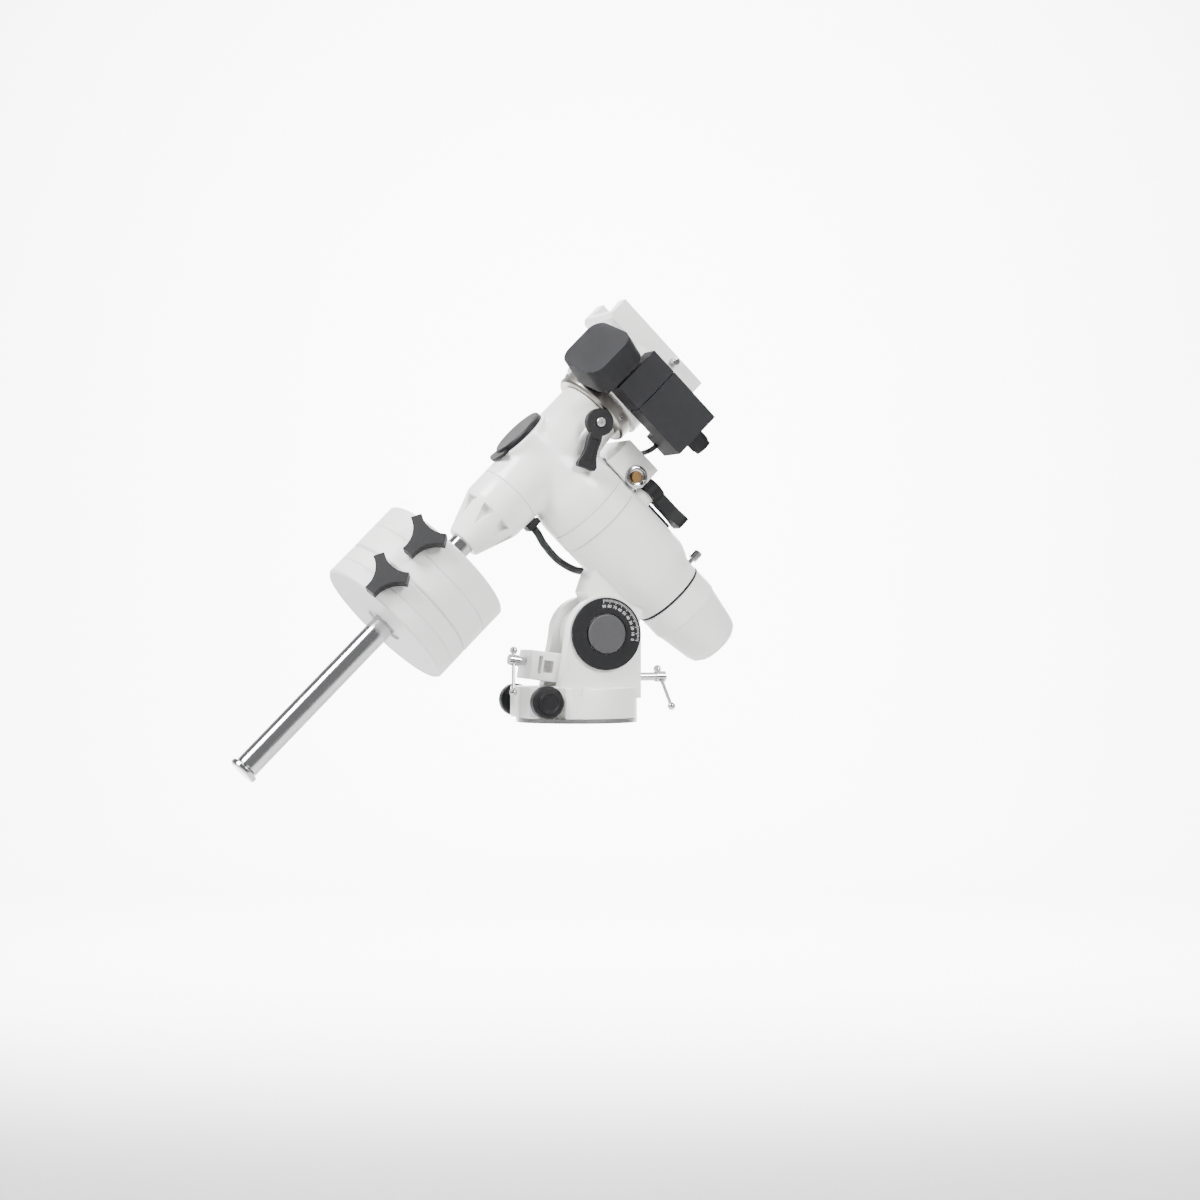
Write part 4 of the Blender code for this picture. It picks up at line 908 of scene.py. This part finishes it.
def knurl(piece, radius):
    """Press ridges into the rim of a turned knob, from this radius outward."""
    for vertex in piece.data.vertices:
        x, y = vertex.co.x / MM, vertex.co.y / MM
        if math.hypot(x, y) > radius:
            ridge = round(math.atan2(y, x) / math.tau * KNURLS * FINER) % FINER
            if ridge:
                vertex.co.x *= 1 - 0.35 / radius
                vertex.co.y *= 1 - 0.35 / radius


def attach(piece, node):
    """Put the piece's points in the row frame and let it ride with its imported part's body."""
    bpy.context.view_layer.update()
    piece.data.transform(piece.matrix_world)
    piece.parent = None
    piece.matrix_world = Matrix()
    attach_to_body(piece, BODY_OF[node])


def soften_casting(piece):
    """Blend the crotch between the two tubes of the T casting as a casting's fillet does."""
    remesh = piece.modifiers.new("cast", "REMESH")
    remesh.mode = "VOXEL"
    remesh.voxel_size = 0.9 * MM
    bake_shape(piece)
    group = piece.vertex_groups.new(name="fillet")
    for vertex in piece.data.vertices:
        q, y, p = [c / MM for c in vertex.co]
        near_end = min(p - CASTING_P[0], CASTING_P[1] - p, q - DEC_LOW, DEC_HIGH - q)
        on_boss = y < -27 and math.hypot(q - DEC_LEVER[0], p - DEC_LEVER[1]) < BOSS_KEPT_R
        weight = 0 if on_boss else max(0.0, min(1.0, (near_end - CRISP) / FADE))
        group.add([vertex.index], weight, "REPLACE")
    relax = piece.modifiers.new("relax", "SMOOTH")
    relax.factor = 0.9
    relax.iterations = 60
    relax.vertex_group = "fillet"
    bake_shape(piece)
    piece.data.shade_smooth()


# Wider rounding, in millimetres, on the moulded pieces
EDGES = {"weight_knob_upper": 1.3, "weight_knob_lower": 1.3, "ra_clutch_lever": 1.0,
         "dec_clutch_lever": 1.0, "dec_drive_case": 0.9, "dec_drive_case_end": 0.9,
         "saddle": 1.0, "azimuth_fork": 0.7, "ra_worm_housing": 0.6, "dec_worm_housing": 0.8}


def finish_pieces():
    """Give each fine piece its final mesh and its body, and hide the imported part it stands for."""
    for piece in [o for o in PARTS.objects if "node" in o]:
        node = piece.get("goes_with", piece["node"])
        bake_shape(piece)
        if "knurl" in piece:
            knurl(piece, piece["knurl"])
        elif node == "dec_housing":
            soften_casting(piece)
        else:
            round_edges(piece, EDGES.get(node, EDGE))
        attach(piece, node)
        if "goes_with" not in piece:
            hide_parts(node)
    for tool in list(CUTTERS.objects) + [POLAR, DEC, COVER_FRAME]:
        bpy.data.objects.remove(tool, do_unlink=True)


def paint_packed_nodes():
    """The slot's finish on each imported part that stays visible."""
    for node, packed in frame["nodes"].items():
        if packed.hide_render:
            continue
        packed.data.materials.clear()
        packed.data.materials.append(BY_SLOT[SLOT_OF[node]])


# ---------------------------------------------------------------- dial marks

def dial_marks():
    """A tick for every two degrees of latitude and a number for every ten, round the dial."""
    x, z = ALTITUDE_AXIS
    y = -EAR_OUTER - GAP - DIAL_T
    shape = bmesh.new()
    for i in range(DIAL_TICKS):
        angle = math.radians(DIAL_START - DIAL_STEP * i)
        length = 3.2 if i % TICKS_PER_NUMBER == 0 else 1.8
        tick = bmesh.ops.create_cube(shape, size=1.0)["verts"]
        bmesh.ops.scale(shape, vec=metres(length, 0.3, 0.12), verts=tick)
        bmesh.ops.translate(shape, vec=metres(DIAL_R - 1.6 - length / 2, 0, 0), verts=tick)
        bmesh.ops.rotate(shape, matrix=Matrix.Rotation(angle, 3, "Z"), verts=tick)
    data = bpy.data.meshes.new("dial_ticks")
    shape.to_mesh(data)
    shape.free()
    data.materials.append(MARKS)
    ticks = bpy.data.objects.new("dial_ticks", data)
    PARTS.objects.link(ticks)
    ticks.location = metres(x, y, z)
    ticks.rotation_euler = (math.radians(90), 0, 0)
    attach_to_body(ticks, "azimuth_head")
    for i in range(DIAL_TICKS // TICKS_PER_NUMBER + 1):
        angle = math.radians(DIAL_START - DIAL_STEP * TICKS_PER_NUMBER * i)
        text = bpy.data.curves.new("dial_number_%d" % i, "FONT")
        text.body = str(90 - 10 * i)
        text.size = 3.4 * MM
        text.extrude = 0.04 * MM
        text.align_x, text.align_y = "CENTER", "CENTER"
        text.resolution_u = 3
        text.materials.append(MARKS)
        number = bpy.data.objects.new("dial_number_%d" % i, text)
        PARTS.objects.link(number)
        r = DIAL_R - 7.2
        number.location = metres(x + r * math.cos(angle), y - 0.05, z + r * math.sin(angle))
        number.rotation_euler = (math.radians(90), math.radians(90) - angle, 0)
        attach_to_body(number, "azimuth_head")


# ---------------------------------------------------------------- stage, lights, camera

def stage():
    """Pale floor that curves up into a wall behind the mount, square to the camera."""
    sweep = arc((FLOOR_FAR, FLOOR_Z + WALL_CURVE), WALL_CURVE, 270, 360, 8)
    shape = bmesh.new()
    rows = [(FLOOR_NEAR, FLOOR_Z), (FLOOR_FAR, FLOOR_Z)] + sweep
    rows.append((FLOOR_FAR + WALL_CURVE, WALL_TOP))
    edges = [[shape.verts.new((side, y, z)) for y, z in rows]
             for side in (-FLOOR_HALF, FLOOR_HALF)]
    for i in range(len(rows) - 1):
        shape.faces.new((edges[0][i], edges[1][i], edges[1][i + 1], edges[0][i + 1]))
    data = bpy.data.meshes.new("backdrop")
    shape.to_mesh(data)
    shape.free()
    data.shade_smooth()
    data.materials.append(surface("backdrop_paper", (0.96, 0.96, 0.96), 0.95, mottle=0.003,
                                  bump=0.0))
    floor = bpy.data.objects.new("backdrop", data)
    floor.rotation_euler = (0, 0, math.radians(CAMERA_AZIMUTH))
    bpy.context.scene.collection.objects.link(floor)


def soft_light(name, azimuth, elevation, distance, size, watts, middle=(0, 0, 0.18), spread=180):
    """A round soft light facing a point, from a direction about it."""
    data = bpy.data.lights.new(name, "AREA")
    data.shape = "DISK"
    data.size = size
    data.energy = watts
    data.spread = math.radians(spread)
    lamp = bpy.data.objects.new(name, data)
    a, e = math.radians(azimuth), math.radians(elevation)
    away = Vector((math.sin(a) * math.cos(e), -math.cos(a) * math.cos(e), math.sin(e)))
    lamp.location = Vector(middle) + away * distance
    lamp.rotation_euler = away.to_track_quat("Z", "Y").to_euler()
    bpy.context.scene.collection.objects.link(lamp)


def lights():
    """Soft key, fill and top lights, and two more that whiten the wall."""
    world = bpy.data.worlds.new("studio")
    world.use_nodes = True
    world.node_tree.nodes["Background"].inputs["Color"].default_value = (1, 1, 1, 1)
    world.node_tree.nodes["Background"].inputs["Strength"].default_value = WORLD_LIGHT
    bpy.context.scene.world = world
    soft_light("key", -75, 42, 1.5, 0.7, 66)
    soft_light("fill", 22, 30, 2.0, 0.8, 56)
    soft_light("top", 150, 65, 1.6, 0.8, 24)
    a = math.radians(CAMERA_AZIMUTH)
    behind = (-math.sin(a) * BACKDROP_LIT_AT, math.cos(a) * BACKDROP_LIT_AT, BACKDROP_LIT_Z)
    for side in (-1, 1):
        soft_light("backdrop_light_%d" % (side + 1), CAMERA_AZIMUTH + 35 * side, 30, 3.4, 2.0,
                   BACKDROP_WATTS, middle=behind, spread=120)


def camera():
    a = math.radians(CAMERA_AZIMUTH)
    back = Vector((math.sin(a), -math.cos(a), 0))
    right = Vector((math.cos(a), math.sin(a), 0))
    data = bpy.data.cameras.new("camera")
    data.lens = CAMERA_LENS
    data.sensor_width = 36.0
    eye = bpy.data.objects.new("camera", data)
    eye.location = right * CAMERA_SIDE + Vector((0, 0, CAMERA_HEIGHT)) + back * CAMERA_DISTANCE
    eye.rotation_euler = back.to_track_quat("Z", "Y").to_euler()
    bpy.context.scene.collection.objects.link(eye)
    bpy.context.scene.camera = eye


build()
finish_pieces()
dial_marks()
paint_packed_nodes()
stage()
lights()
camera()
